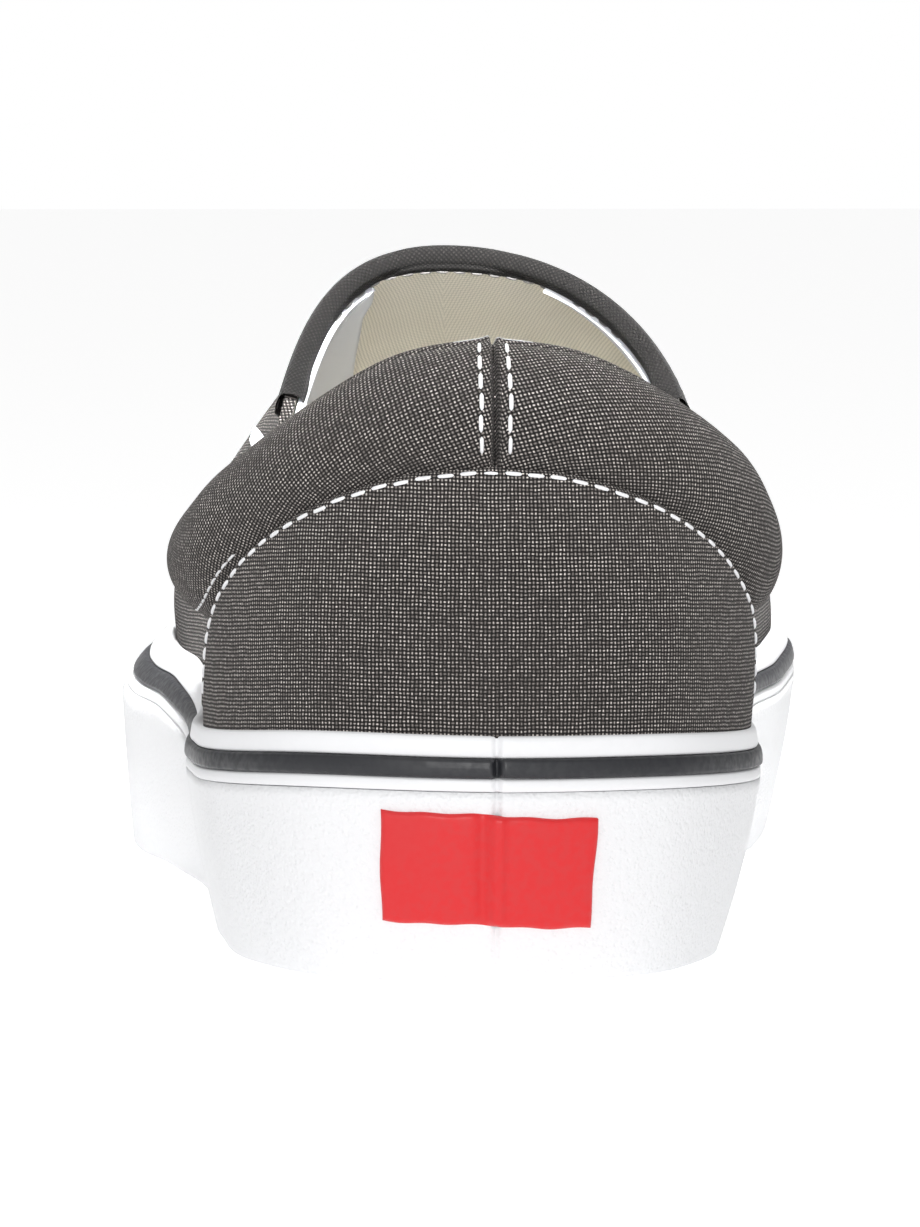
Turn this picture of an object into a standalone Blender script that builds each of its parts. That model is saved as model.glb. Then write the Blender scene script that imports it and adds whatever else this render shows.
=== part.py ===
"""A canvas slip-on sneaker for the left foot, standing empty on its sole.

Metres, +Z up, the toe towards +Y and the medial side towards +X. The origin is on the floor, in
the middle of the sole's length and of its widest part. Two functions carry the whole shoe:
sole_side gives the rubber side wall, and upper_wall gives the canvas wall over the last. Every
piece is cut, lifted or swept from them, so a change of size carries all of them along.
"""

import math
from collections import namedtuple

import bmesh
import bpy
import numpy as np
from mathutils import Vector
from mathutils.bvhtree import BVHTree

# Overall sizes
SHOE_LENGTH = 0.288
BALL_WIDTH = 0.1076
HEEL_WIDTH = 0.0784
HEEL_OFFSET = 0.0038
FOXING_HEIGHT = 0.033
TOE_SPRING = 0.011
ARCH_RISE = 0.0012
HEEL_COLLAR_HEIGHT = 0.0841
ANKLE_HEIGHT = 0.0595
INSTEP_HEIGHT = 0.0938
TOE_BOX_HEIGHT = 0.0475
CONE_HEIGHT = 0.114

# Walls, layers and clearances
CANVAS_WALL = 0.0018
COLLAR_BULGE_OUT = 0.0042
COLLAR_BULGE_IN = 0.001
COLLAR_EDGE = 0.0007
COUNTER_THICKNESS = 0.0008
COUNTER_HEIGHT = 0.0683
FOXING_TAPE = 0.0015
FOXING_FOOT = 0.0026
TAPE_STEP = 0.0006
STRIPE_DEPTH = 0.0009
STRIPE_PROUD = 0.0004
OUTSOLE_HEEL = 0.012
OUTSOLE_BALL = 0.0085
INSOLE_THICKNESS = 0.0045
TREAD_DEPTH = 0.0015
TREAD_PITCH = 0.0105
TREAD_GROOVE = 0.0026
GORE_THICKNESS = 0.0012
GORE_BOTTOM = 0.0395
GORE_TOP_WIDTH = 0.021
GORE_FOOT_WIDTH = 0.0085
BINDING_WIDTH = 0.0046
BINDING_THICKNESS = 0.0007
BINDING_ROWS = 4
RIM_ROUND = 0.8
LABEL_WIDTH = 0.0291
LABEL_HEIGHT = 0.0149
LABEL_THICKNESS = 0.0007
LABEL_BOTTOM = 0.0077
GAP = 0.0003

# The sole's edge at its widest, from the back of the heel round the lateral side to the toe and
# back along the medial side. along is a share of the length. across is a share of half the width
# that the row follows, from that width's own middle. The last three are shares of the foxing's
# height: how far the foot of the wall is cut under, how far its top leans in, and how high it is.
EdgeRow = namedtuple("EdgeRow", "place follows along across undercut lean height")
SOLE_EDGE = [
    EdgeRow("heel back", "heel", 0.000, 0.000, 0.105, 0.020, 1.000),
    EdgeRow("lateral heel round", "heel", 0.024, -0.620, 0.125, 0.020, 1.006),
    EdgeRow("lateral heel corner", "heel", 0.083, -0.900, 0.135, 0.022, 0.962),
    EdgeRow("lateral heel side", "heel", 0.180, -1.000, 0.125, 0.028, 0.915),
    EdgeRow("lateral waist", "heel", 0.330, -1.020, 0.110, 0.090, 0.895),
    EdgeRow("lateral shank", "ball", 0.452, -0.902, 0.065, 0.165, 0.940),
    EdgeRow("lateral ball", "ball", 0.615, -1.000, 0.050, 0.215, 0.965),
    EdgeRow("lateral forefoot", "ball", 0.753, -0.944, 0.070, 0.190, 0.950),
    EdgeRow("lateral toe side", "ball", 0.875, -0.730, 0.095, 0.155, 0.895),
    EdgeRow("lateral toe corner", "ball", 0.965, -0.355, 0.110, 0.130, 0.880),
    EdgeRow("toe tip", "ball", 1.000, 0.095, 0.110, 0.130, 0.880),
    EdgeRow("medial toe corner", "ball", 0.969, 0.525, 0.115, 0.125, 0.885),
    EdgeRow("medial toe side", "ball", 0.896, 0.813, 0.125, 0.115, 0.900),
    EdgeRow("medial forefoot", "ball", 0.806, 0.963, 0.130, 0.085, 0.960),
    EdgeRow("medial ball", "ball", 0.705, 1.000, 0.130, 0.065, 0.985),
    EdgeRow("medial shank", "ball", 0.555, 0.900, 0.130, 0.055, 0.965),
    EdgeRow("medial waist", "heel", 0.382, 1.040, 0.150, 0.045, 0.900),
    EdgeRow("medial heel side", "heel", 0.190, 1.000, 0.165, 0.028, 0.915),
    EdgeRow("medial heel corner", "heel", 0.083, 0.900, 0.160, 0.022, 0.950),
    EdgeRow("medial heel round", "heel", 0.024, 0.620, 0.125, 0.020, 0.988),
]

# Sections across the last. station runs from the heel back, 0, to the toe tip, 1, along each side
# of the sole's edge. The section's top lies on the ridge: ridge_along and ridge_across are shares
# of the length and of half the ball's width. ridge_rise is 0 at the toe box's height, 1 at the
# instep's and 2 at the cone's, which the collar's opening cuts off. The rest shape the wall from
# its foot to the ridge as shares of its rise and of its reach: how far it goes up and leans in
# from its foot, and how far out and down it starts from the ridge, on each side.
Section = namedtuple(
    "Section",
    "station ridge_along ridge_across ridge_rise foot_up ridge_down "
    "lateral_in lateral_out medial_in medial_out",
)
LAST_SECTIONS = [
    Section(0.00, 0.150, -0.070, 2.00, 0.66, 0.10, -0.05, 0.62, -0.05, 0.62),
    Section(0.10, 0.165, -0.070, 2.00, 0.64, 0.10, -0.04, 0.64, -0.08, 0.64),
    Section(0.20, 0.205, -0.075, 1.95, 0.60, 0.08, -0.05, 0.68, -0.12, 0.68),
    Section(0.30, 0.280, -0.085, 1.70, 0.56, 0.04, 0.08, 0.70, -0.11, 0.70),
    Section(0.38, 0.355, -0.100, 1.36, 0.54, 0.00, 0.36, 0.75, -0.08, 0.69),
    Section(0.45, 0.430, -0.100, 1.00, 0.52, 0.00, 0.36, 0.68, -0.08, 0.68),
    Section(0.52, 0.505, -0.080, 0.74, 0.55, 0.00, 0.02, 0.60, -0.02, 0.62),
    Section(0.60, 0.590, -0.045, 0.48, 0.62, 0.00, -0.10, 0.55, -0.04, 0.60),
    Section(0.70, 0.690, 0.000, 0.22, 0.74, 0.00, -0.01, 0.57, 0.02, 0.58),
    Section(0.80, 0.780, 0.040, 0.07, 0.86, 0.00, 0.00, 0.60, 0.00, 0.60),
    Section(0.90, 0.848, 0.075, 0.01, 0.96, 0.00, -0.02, 0.62, -0.02, 0.62),
    Section(1.00, 0.868, 0.085, 0.00, 1.00, 0.00, -0.03, 0.62, -0.03, 0.62),
]

# The top edge. Behind the ankle a height is a share of the way from the ankle to the heel's
# collar, and in front of it a share of the way from the ankle to the instep.
TopRow = namedtuple("TopRow", "station follows lateral medial")
TOPLINE = [
    TopRow(0.000, "heel", 1.00, 1.00),
    TopRow(0.045, "heel", 0.90, 0.92),
    TopRow(0.090, "heel", 0.63, 0.70),
    TopRow(0.150, "heel", 0.28, 0.39),
    TopRow(0.210, "heel", 0.06, 0.13),
    TopRow(0.280, "heel", -0.03, -0.02),
    TopRow(0.340, "instep", 0.07, 0.06),
    TopRow(0.385, "instep", 0.28, 0.26),
    TopRow(0.415, "instep", 0.56, 0.54),
    TopRow(0.435, "instep", 0.80, 0.79),
    TopRow(0.450, "instep", 1.00, 1.00),
]
PEAK_STATION = 0.450
ANKLE_STATION = 0.280
TOE_STATION = 1.0

# The counter's top edge and the collar's lower seam, by station, as shares of the way up from
# the foxing to the counter's height.
SeamRow = namedtuple("SeamRow", "station counter collar")
SEAMS = [
    SeamRow(0.000, 1.000, 1.000),
    SeamRow(0.036, 0.965, 0.978),
    SeamRow(0.066, 0.885, 0.898),
    SeamRow(0.098, 0.765, 0.772),
    SeamRow(0.135, 0.590, 0.602),
    SeamRow(0.170, 0.340, 0.450),
    SeamRow(0.192, 0.080, 0.415),
    SeamRow(0.250, -0.100, 0.410),
    SeamRow(0.300, -0.200, 0.420),
    SeamRow(1.000, -0.200, 0.420),
]
COUNTER_END_STATION = 0.183
COLLAR_END_STATION = 0.335
PAD_FADE_STATIONS = (0.290, 0.345)
LINING_PAD_FADE_STATIONS = (0.270, 0.315)

# The side wall's own steps, as shares of the foxing's height
WIDEST_SHARE = 0.72
STEP_SHARE = 0.775
STRIPE_SHARES = (0.830, 0.912)
EDGE_BEVEL_SHARE = 0.045

GORE_STATION = 0.365
GORE_OVERLAP = 0.006
BINDING_START = 0.022
HEEL_SEAM_LAP = 0.0
INSOLE_CLEARANCE = 0.0012

EDGE_SAMPLES = 1440
SIDE_COLUMNS = 27
THROAT_COLUMNS = 7
WALL_ROWS = 10
FOOT_ROWS = 2


def hermite(knots, values, at):
    """A smooth curve through values at knots, read at the places in at.

    Each stretch is the cubic that meets its ends with the slope of the parabola through the
    neighbouring knots, so the curve has no corner and hardly overshoots.
    """
    knots = np.asarray(knots, float)
    values = np.asarray(values, float)
    steps = np.diff(knots)
    slopes = np.diff(values) / steps
    inner = (slopes[:-1] * steps[1:] + slopes[1:] * steps[:-1]) / (steps[:-1] + steps[1:])
    tangents = np.concatenate([[slopes[0]], inner, [slopes[-1]]])
    at = np.clip(at, knots[0], knots[-1])
    cell = np.clip(np.searchsorted(knots, at, side="right") - 1, 0, len(steps) - 1)
    width = steps[cell]
    t = (at - knots[cell]) / width
    return (
        values[cell] * (1 + 2 * t) * (1 - t) ** 2
        + tangents[cell] * width * t * (1 - t) ** 2
        + values[cell + 1] * t * t * (3 - 2 * t)
        + tangents[cell + 1] * width * t * t * (t - 1)
    )


def smooth_step(low, high, value):
    """0 below low, 1 above high and an S curve between them."""
    t = np.clip((value - low) / (high - low), 0, 1)
    return t * t * (3 - 2 * t)


def row_points():
    """The rows of SOLE_EDGE in metres, along from the heel back and across from the origin."""
    middle = {"heel": -HEEL_OFFSET, "ball": 0.0}
    half = {"heel": HEEL_WIDTH / 2, "ball": BALL_WIDTH / 2}
    across = [middle[r.follows] + r.across * half[r.follows] for r in SOLE_EDGE]
    along = [r.along * SHOE_LENGTH for r in SOLE_EDGE]
    return np.array(across), np.array(along)


def closed_curve():
    """The sole's edge as a dense closed line, with the wall's three shares along it.

    The rows are joined by a smooth closed curve over the length between them. It is then fitted
    to the length and the ball width exactly, so the origin stays in the middle of its box.
    """
    across, along = row_points()
    shares = [[getattr(r, name) for r in SOLE_EDGE] for name in ("undercut", "lean", "height")]
    lap = 3
    chord = np.hypot(np.diff(across, append=across[0]), np.diff(along, append=along[0]))
    length = chord.sum()
    knots = np.concatenate([[0], np.cumsum(np.tile(chord, lap))])[:-1] - length
    at = np.arange(EDGE_SAMPLES) / EDGE_SAMPLES * length
    dense = [hermite(knots, np.tile(v, lap), at) for v in (across, along, *shares)]
    x = (dense[0] - (dense[0].max() + dense[0].min()) / 2) * BALL_WIDTH / np.ptp(dense[0])
    y = (dense[1] - dense[1].min()) * SHOE_LENGTH / np.ptp(dense[1]) - SHOE_LENGTH / 2
    return x, y, *dense[2:]


def edge_table():
    """The dense edge with its outward normal and its lap, 0 at the heel, 1 at the toe, 2 again
    at the heel, each side growing evenly with its length."""
    x, y, undercut, lean, height = closed_curve()
    tangent = np.stack([np.roll(x, -1) - np.roll(x, 1), np.roll(y, -1) - np.roll(y, 1)])
    tangent /= np.linalg.norm(tangent, axis=0)
    normal_x, normal_y = -tangent[1], tangent[0]
    steps = np.hypot(np.roll(x, -1) - x, np.roll(y, -1) - y)
    run = np.concatenate([[0], np.cumsum(steps)])
    toe = int(np.argmax(y))
    lateral = run[: toe + 1] / run[toe]
    medial = 1 + (run[toe + 1 :] - run[toe]) / (run[-1] - run[toe])
    lap = np.concatenate([lateral, medial])
    columns = (x, y, normal_x, normal_y, undercut, lean, height)
    return lap, [np.append(c, c[0]) for c in columns]


EDGE_LAP, EDGE_COLUMNS = edge_table()


def edge_at(lap):
    """x, y, outward normal x and y, undercut, lean and height share of the edge at a lap."""
    return [np.interp(np.mod(lap, 2.0), EDGE_LAP, column) for column in EDGE_COLUMNS]


def ground_height(y):
    """The height of the sole's underside: flat under heel and ball, a low arch between them and
    the toe spring in front."""
    share = y / SHOE_LENGTH + 0.5
    arch = ARCH_RISE * smooth_step(0.26, 0.38, share) * (1 - smooth_step(0.44, 0.56, share))
    spring = TOE_SPRING * np.clip((share - 0.70) / 0.30, 0, None) ** 2
    return arch + spring


def sole_side(lap, share, lift=0.0):
    """A point on the rubber side wall.

    share is the height as a share of the wall there, and lift is how far the point stands out
    of the wall. The wall is widest at WIDEST_SHARE, cut under below it and leaning in above it.
    """
    x, y, nx, ny, undercut, lean, height = edge_at(lap)
    below = np.clip(1 - share / WIDEST_SHARE, 0, 1) ** 1.35
    above = np.clip((share - WIDEST_SHARE) / (1 - WIDEST_SHARE), 0, 1) ** 1.15
    out = lift - (undercut * below + lean * above) * FOXING_HEIGHT
    z = ground_height(y) + share * height * FOXING_HEIGHT
    return np.stack([x + nx * out, y + ny * out, z + 0 * out], axis=-1)


def outsole_top(y):
    """The height of the outsole's upper side, thicker under the heel than under the ball."""
    share = y / SHOE_LENGTH + 0.5
    wedge = 1 - smooth_step(0.30, 0.66, share)
    return ground_height(y) + OUTSOLE_BALL + (OUTSOLE_HEEL - OUTSOLE_BALL) * wedge


def feather_inset(lap):
    """How far inside the sole's widest edge the outsole ends and the canvas comes down."""
    return edge_at(lap)[4] * FOXING_HEIGHT + FOXING_FOOT + GAP


def inside_edge(lap, inset, z):
    """A point a way inside the sole's widest edge, at the height z."""
    x, y, nx, ny = edge_at(lap)[:4]
    return np.stack([x - nx * inset, y - ny * inset, z + 0 * x], axis=-1)


def station_of(lap):
    """The section's station at a lap, and the side, -1 lateral and 1 medial."""
    lap = np.mod(lap, 2.0)
    return np.where(lap <= 1, lap, 2 - lap), np.where(lap <= 1, -1, 1)


def section_value(name, station):
    return hermite(
        [s.station for s in LAST_SECTIONS], [getattr(s, name) for s in LAST_SECTIONS], station
    )


def wall_handles(lap):
    """The four handles of the wall's cubic, from the foxing's top edge up to the ridge."""
    station, side = station_of(lap)
    foot = sole_side(lap, 1.0, -FOXING_TAPE)
    rise = section_value("ridge_rise", station)
    low = TOE_BOX_HEIGHT + np.clip(rise, 0, 1) * (INSTEP_HEIGHT - TOE_BOX_HEIGHT)
    ridge_z = low + np.clip(rise - 1, 0, 1) * (CONE_HEIGHT - INSTEP_HEIGHT)
    ridge_x = section_value("ridge_across", station) * BALL_WIDTH / 2
    ridge_y = (section_value("ridge_along", station) - 0.5) * SHOE_LENGTH
    ridge = np.stack([ridge_x, ridge_y, ridge_z], axis=-1)
    reach = ridge - foot
    flat = reach * np.array([1, 1, 0])
    up = reach * np.array([0, 0, 1])

    def share(name):
        return section_value(name, station)[..., None]

    def sided(name):
        lateral, medial = share("lateral_" + name), share("medial_" + name)
        return np.where(side[..., None] < 0, lateral, medial)

    first = foot + up * share("foot_up") + flat * sided("in")
    second = ridge - flat * sided("out") - up * share("ridge_down")
    return foot, first, second, ridge


def cubic(handles, t):
    """The cubic curve with four handles at t."""
    t = np.asarray(t, float)[..., None]
    a, b, c, d = handles
    return a * (1 - t) ** 3 + 3 * b * t * (1 - t) ** 2 + 3 * c * t * t * (1 - t) + d * t**3


def topline_height(lap):
    """The height of the collar's and the throat's edge, above which the last is cut off."""
    station, side = station_of(lap)
    heights = {"heel": HEEL_COLLAR_HEIGHT, "instep": INSTEP_HEIGHT}
    knots = [r.station for r in TOPLINE]
    made = []
    for name in ("lateral", "medial"):
        z = [ANKLE_HEIGHT + getattr(r, name) * (heights[r.follows] - ANKLE_HEIGHT) for r in TOPLINE]
        made.append(hermite(knots, z, station))
    return np.where(side < 0, made[0], made[1])


def top_share(lap):
    """Where on the wall's cubic the topline cuts it, found by halving; 1 along the vamp."""
    station = station_of(lap)[0]
    handles = wall_handles(lap)
    want = topline_height(lap)
    low, high = np.zeros_like(want), np.ones_like(want)
    for _ in range(40):
        middle = (low + high) / 2
        under = cubic(handles, middle)[..., 2] < want
        low, high = np.where(under, middle, low), np.where(under, high, middle)
    return np.where(station >= PEAK_STATION, 1.0, low)


def wall_base(lap, rise):
    """The canvas's outer face. rise is 0 at the foxing's top edge, 1 at the topline or the ridge,
    and down to -1 at the wall's foot inside the rubber."""
    lap, rise = np.broadcast_arrays(np.asarray(lap, float), np.asarray(rise, float))
    handles = wall_handles(lap)
    shown = cubic(handles, np.clip(rise, 0, 1) * top_share(lap))
    foot = inside_edge(lap, feather_inset(lap), 0)
    foot[..., 2] = outsole_top(foot[..., 1]) + GAP
    return shown + (foot - handles[0]) * np.clip(-rise, 0, 1)[..., None]


def rise_at_height(lap, z):
    """The rise at which the canvas wall reaches the height z, found by halving."""
    lap, z = np.broadcast_arrays(np.asarray(lap, float), np.asarray(z, float))
    low, high = -np.ones_like(z), np.ones_like(z)
    for _ in range(30):
        middle = (low + high) / 2
        under = wall_base(lap, middle)[..., 2] < z
        low, high = np.where(under, middle, low), np.where(under, high, middle)
    return low


def wall_normal(lap, rise):
    """The outward normal of the canvas, from the slopes along the shoe and up the wall."""
    near = 0.0004
    lap, rise = np.broadcast_arrays(np.asarray(lap, float), np.asarray(rise, float))
    rise = np.clip(rise, -0.99, 0.985)
    along = wall_base(lap + near, rise) - wall_base(lap - near, rise)
    top = np.minimum(rise + 10 * near, 1)
    up = wall_base(lap, top) - wall_base(lap, top - 20 * near)
    normal = np.cross(up, along)
    return normal / np.linalg.norm(normal, axis=-1, keepdims=True)


def seam_height(name, lap):
    """The height of the counter's top edge or of the collar's lower seam."""
    station = station_of(lap)[0]
    share = hermite([s.station for s in SEAMS], [getattr(s, name) for s in SEAMS], station)
    top = sole_side(lap, 1.0)[..., 2]
    return top + share * (COUNTER_HEIGHT - top)


def padding(lap, rise, fade):
    """How full the collar's padding is: 0 at its lower seam and at the topline, 1 between."""
    station = station_of(lap)[0]
    z = wall_base(lap, rise)[..., 2]
    low = seam_height("collar", lap)
    share = np.clip((z - low) / (topline_height(lap) - low), 0, 1)
    full = np.sin(np.pi * share**0.95) ** 0.65
    return full * (1 - smooth_step(*fade, station))


def lifted(lap, rise, lift):
    """A point a way out from the canvas wall, or inside it for a lift under 0."""
    return wall_base(lap, rise) + wall_normal(lap, rise) * np.asarray(lift)[..., None]


def lining_wall(lap, rise):
    """The inner face of the wall: the canvas's thickness and the padding's inner half."""
    bulge = COLLAR_BULGE_IN * padding(lap, rise, LINING_PAD_FADE_STATIONS)
    return lifted(lap, rise, -(CANVAS_WALL + bulge))


def grid(lap, rise):
    return np.meshgrid(lap, rise, indexing="ij")


def new_object(name, points, faces, material):
    """A shaded object from arrays of points and faces, with its sharp edges kept."""
    mesh = bpy.data.meshes.new(name)
    mesh.from_pydata([tuple(p) for p in points.reshape(-1, 3)], [], faces)
    mesh.validate()
    mesh.update()
    mesh.shade_smooth()
    mesh.set_sharp_from_angle(angle=math.radians(40))
    mesh.materials.append(material)
    made = bpy.data.objects.new(name, mesh)
    bpy.context.scene.collection.objects.link(made)
    return made


def ring(name, loops, material):
    """A closed band: loops holds a closed section for each column round the shoe."""
    columns, size = loops.shape[:2]
    faces = []
    for k in range(columns):
        after = (k + 1) % columns
        for j in range(size):
            beside = (j + 1) % size
            faces.append(
                (k * size + j, k * size + beside, after * size + beside, after * size + j)
            )
    return new_object(name, loops, faces, material)


def plate(name, outer, inner, material):
    """A closed plate between an outer and an inner face of the same grid."""
    columns, rows = outer.shape[:2]
    half = columns * rows

    def at(k, j, layer):
        return layer * half + k * rows + j

    faces = []
    for k in range(columns - 1):
        for j in range(rows - 1):
            quad = [(k, j), (k + 1, j), (k + 1, j + 1), (k, j + 1)]
            faces.append(tuple(at(*c, 0) for c in reversed(quad)))
            faces.append(tuple(at(*c, 1) for c in quad))
    border = [(k, 0) for k in range(columns)]
    border += [(columns - 1, j) for j in range(1, rows)]
    border += [(k, rows - 1) for k in range(columns - 2, -1, -1)]
    border += [(0, j) for j in range(rows - 2, 0, -1)]
    for here, there in zip(border, border[1:] + border[:1]):
        faces.append((at(*here, 0), at(*there, 0), at(*there, 1), at(*here, 1)))
    return new_object(name, np.stack([outer, inner]), faces, material)


def side_stations():
    """The stations of the columns on one side: close together round the throat's peak, where the
    topline turns across the foot."""
    arc = (np.arange(THROAT_COLUMNS, 0, -1) / THROAT_COLUMNS) ** 2
    throat = PEAK_STATION - arc * 0.075
    back = np.linspace(0, throat[0], 15)[:-1]
    front = np.linspace(PEAK_STATION, TOE_STATION, SIDE_COLUMNS - THROAT_COLUMNS - 1)
    return np.concatenate([back, throat, front])


def shoe_laps():
    """The laps of every column round the shoe, from the heel along the lateral side."""
    stations = side_stations()
    return np.concatenate([stations, 2 - stations[-2:0:-1]])


def heel_laps(end_station, between=1):
    """The columns round the heel from the medial end to the lateral end of a piece there, with
    so many more columns between each pair."""
    stations = side_stations()
    near = stations[stations < end_station - 0.004]
    side = np.append(near, end_station)
    laps = np.concatenate([-side[::-1], side[1:]])
    at = np.arange(0, len(laps) - 1 + 1e-9, 1 / between)
    return np.interp(at, np.arange(len(laps)), laps)


def make_upper(material):
    """The vamp and quarters as one hollow wall, with the collar's padding as part of it.

    The columns run round the whole shoe. In front of the throat's peak the two sides meet on
    the ridge, so each pair of columns shares its top points there.
    """
    stations = side_stations()
    side = len(stations)
    laps = shoe_laps()
    twins = np.concatenate([np.arange(side), np.arange(side - 2, 0, -1)])
    rise = np.concatenate([np.linspace(-1, 0, FOOT_ROWS + 1)[:-1], np.linspace(0, 1, WALL_ROWS + 1)])
    lap_grid, rise_grid = grid(laps, rise)
    outer = wall_base(lap_grid, rise_grid)
    inner = lining_wall(lap_grid, rise_grid)
    inner[:, 0, 2] = outer[:, 0, 2]
    rows = len(rise)
    peak = int(np.argmin(abs(stations - PEAK_STATION)))
    points = []
    outer_at = np.zeros((len(laps), rows), int)
    inner_at = np.zeros((len(laps), rows), int)
    rim_angles = np.radians([45, 90, 135])
    rim_at = np.zeros((len(laps), len(rim_angles)), int)
    for k, twin in enumerate(twins):
        shares_top = k != twin and twin >= peak
        for j in range(rows):
            if shares_top and j == rows - 1:
                outer_at[k, j], inner_at[k, j] = outer_at[twin, j], inner_at[twin, j]
                continue
            outer_at[k, j] = len(points)
            points.append(outer[k, j])
            inner_at[k, j] = len(points)
            points.append(inner[k, j])
        if twin > peak:
            continue
        if shares_top:
            rim_at[k] = rim_at[twin]
            continue
        middle = (outer[k, -1] + inner[k, -1]) / 2
        half = (outer[k, -1] - inner[k, -1]) / 2
        upward = outer[k, -1] - outer[k, -2]
        upward = upward / np.linalg.norm(upward)
        if twin == peak:
            upward = np.array([0, -1, 0])
        for a, angle in enumerate(rim_angles):
            rim_at[k, a] = len(points)
            cap = np.linalg.norm(half) * RIM_ROUND * math.sin(angle)
            points.append(middle + half * math.cos(angle) + upward * cap)
    faces = []
    count = len(laps)
    for k in range(count):
        after = (k + 1) % count
        for j in range(rows - 1):
            for at, turn in ((outer_at, 1), (inner_at, -1)):
                quad = [at[k, j], at[k, j + 1], at[after, j + 1], at[after, j]]
                faces.append(tuple(int(i) for i in quad[::turn]))
        foot = [outer_at[k, 0], outer_at[after, 0], inner_at[after, 0], inner_at[k, 0]]
        faces.append(tuple(int(i) for i in foot))
        if twins[k] > peak or twins[after] > peak:
            continue
        here = [outer_at[k, -1], *rim_at[k], inner_at[k, -1]]
        there = [outer_at[after, -1], *rim_at[after], inner_at[after, -1]]
        for a in range(len(here) - 1):
            faces.append(tuple(int(i) for i in (here[a], here[a + 1], there[a + 1], there[a])))
    upper = new_object("upper", np.array(points), faces, material)
    for side_sign, side_name in ((-1, "lateral"), (1, "medial")):
        cut_gore_notch(upper, side_sign, side_name)
    return upper


def gore_lap(side):
    """The lap in the middle of the gore on a side."""
    return GORE_STATION if side < 0 else 2 - GORE_STATION


def cut_gore_notch(upper, side, side_name):
    """Cuts the notch of an elastic gore: a deep V with a round foot, open at the topline."""
    middle = wall_base(gore_lap(side), 0.6)
    foot_half, top_half = GORE_FOOT_WIDTH / 2, GORE_TOP_WIDTH / 2
    top = INSTEP_HEIGHT + GORE_TOP_WIDTH
    slope = (top_half - foot_half) / (INSTEP_HEIGHT * 0.75 - GORE_BOTTOM)
    wide = foot_half + slope * (top - GORE_BOTTOM - foot_half)
    angles = np.linspace(math.pi, 2 * math.pi, 9)
    outline = [
        (foot_half * math.cos(a), GORE_BOTTOM + foot_half * (1 + math.sin(a))) for a in angles
    ]
    outline += [(wide, top), (-wide, top)]
    depth = BALL_WIDTH / 2
    near_x, far_x = side * depth * 0.18, side * depth * 1.3
    points = [(x, middle[1] + dy, z) for x in (near_x, far_x) for dy, z in outline]
    size = len(outline)
    ends = [tuple(range(size)), tuple(range(2 * size - 1, size - 1, -1))]
    sides = [
        (i, (i + 1) % size, size + (i + 1) % size, size + i)[:: -1] for i in range(size)
    ]
    faces = [f if side > 0 else f[::-1] for f in (ends[0][::-1], ends[1][::-1])]
    faces += [f[::-1] if side > 0 else f for f in sides]
    cutter = new_object(f"{side_name}_gore_cutter", np.array(points), faces, None)
    cutter.hide_render = True
    cutter.display_type = "WIRE"
    modifier = upper.modifiers.new(f"{side_name}_gore_notch", "BOOLEAN")
    modifier.object = cutter
    modifier.operation = "DIFFERENCE"
    modifier.solver = "EXACT"


def foxing_back(lap):
    """The inset of the lower wall's back face at the ground, against the outsole."""
    return feather_inset(lap) - GAP


def canvas_side(lap, z):
    """A point just outside the canvas inside the rubber, at the height z."""
    foot, top = wall_base(lap, -1.0), wall_base(lap, 0.0)
    share = (z - foot[..., 2]) / (top[..., 2] - foot[..., 2])
    nx, ny = edge_at(lap)[2:4]
    outward = np.stack([nx, ny, 0 * nx], axis=-1)
    return foot + (top - foot) * share[..., None] + outward * GAP


def make_foxing(material):
    """The lower side wall: from the ground to the tape's lower edge, with a rounded foot."""
    laps = shoe_laps()
    heel = inside_edge(laps, foxing_back(laps), 0)
    heel[:, 2] = ground_height(heel[:, 1])
    shoulder = inside_edge(laps, foxing_back(laps), 0)
    shoulder[:, 2] = outsole_top(shoulder[:, 1])
    outer = [sole_side(laps, 0.0, -FOXING_FOOT * 0.35)]
    outer += [sole_side(laps, share) for share in (0.05, 0.16, 0.31, 0.47, 0.60, STEP_SHARE)]
    top = canvas_side(laps, outer[-1][:, 2])
    return ring("foxing", np.stack([heel, *outer, top, shoulder], axis=1), material)


def make_foxing_tape(material):
    """The upper band, a step proud of the lower wall, with a groove for the stripe."""
    laps = shoe_laps()
    low, high = STRIPE_SHARES
    gap_share = GAP / FOXING_HEIGHT * 1.15
    outer = [
        sole_side(laps, STEP_SHARE + gap_share, TAPE_STEP * 0.6),
        sole_side(laps, STEP_SHARE + gap_share + 0.02, TAPE_STEP),
        sole_side(laps, low, TAPE_STEP),
        sole_side(laps, low, TAPE_STEP - STRIPE_DEPTH),
        sole_side(laps, high, TAPE_STEP - STRIPE_DEPTH),
        sole_side(laps, high, TAPE_STEP),
        sole_side(laps, 0.985, TAPE_STEP),
        sole_side(laps, 1.0, TAPE_STEP * 0.2),
    ]
    backs = [canvas_side(laps, outer[-1][:, 2]), canvas_side(laps, outer[0][:, 2])]
    return ring("foxing_tape", np.stack([*outer, *backs], axis=1), material)


def make_stripe(material):
    """The dark stripe in the tape's groove."""
    laps = shoe_laps()
    gap_share = GAP / FOXING_HEIGHT * 1.15
    low, high = STRIPE_SHARES[0] + gap_share, STRIPE_SHARES[1] - gap_share
    proud, sunk = TAPE_STEP + STRIPE_PROUD, TAPE_STEP - STRIPE_DEPTH + GAP
    section = [(low, sunk), (low, proud - 0.0002), (low + 0.012, proud)]
    section += [(high - 0.012, proud), (high, proud - 0.0002), (high, sunk)]
    return ring(
        "foxing_stripe", np.stack([sole_side(laps, s, lift) for s, lift in section], axis=1), material
    )


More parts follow.
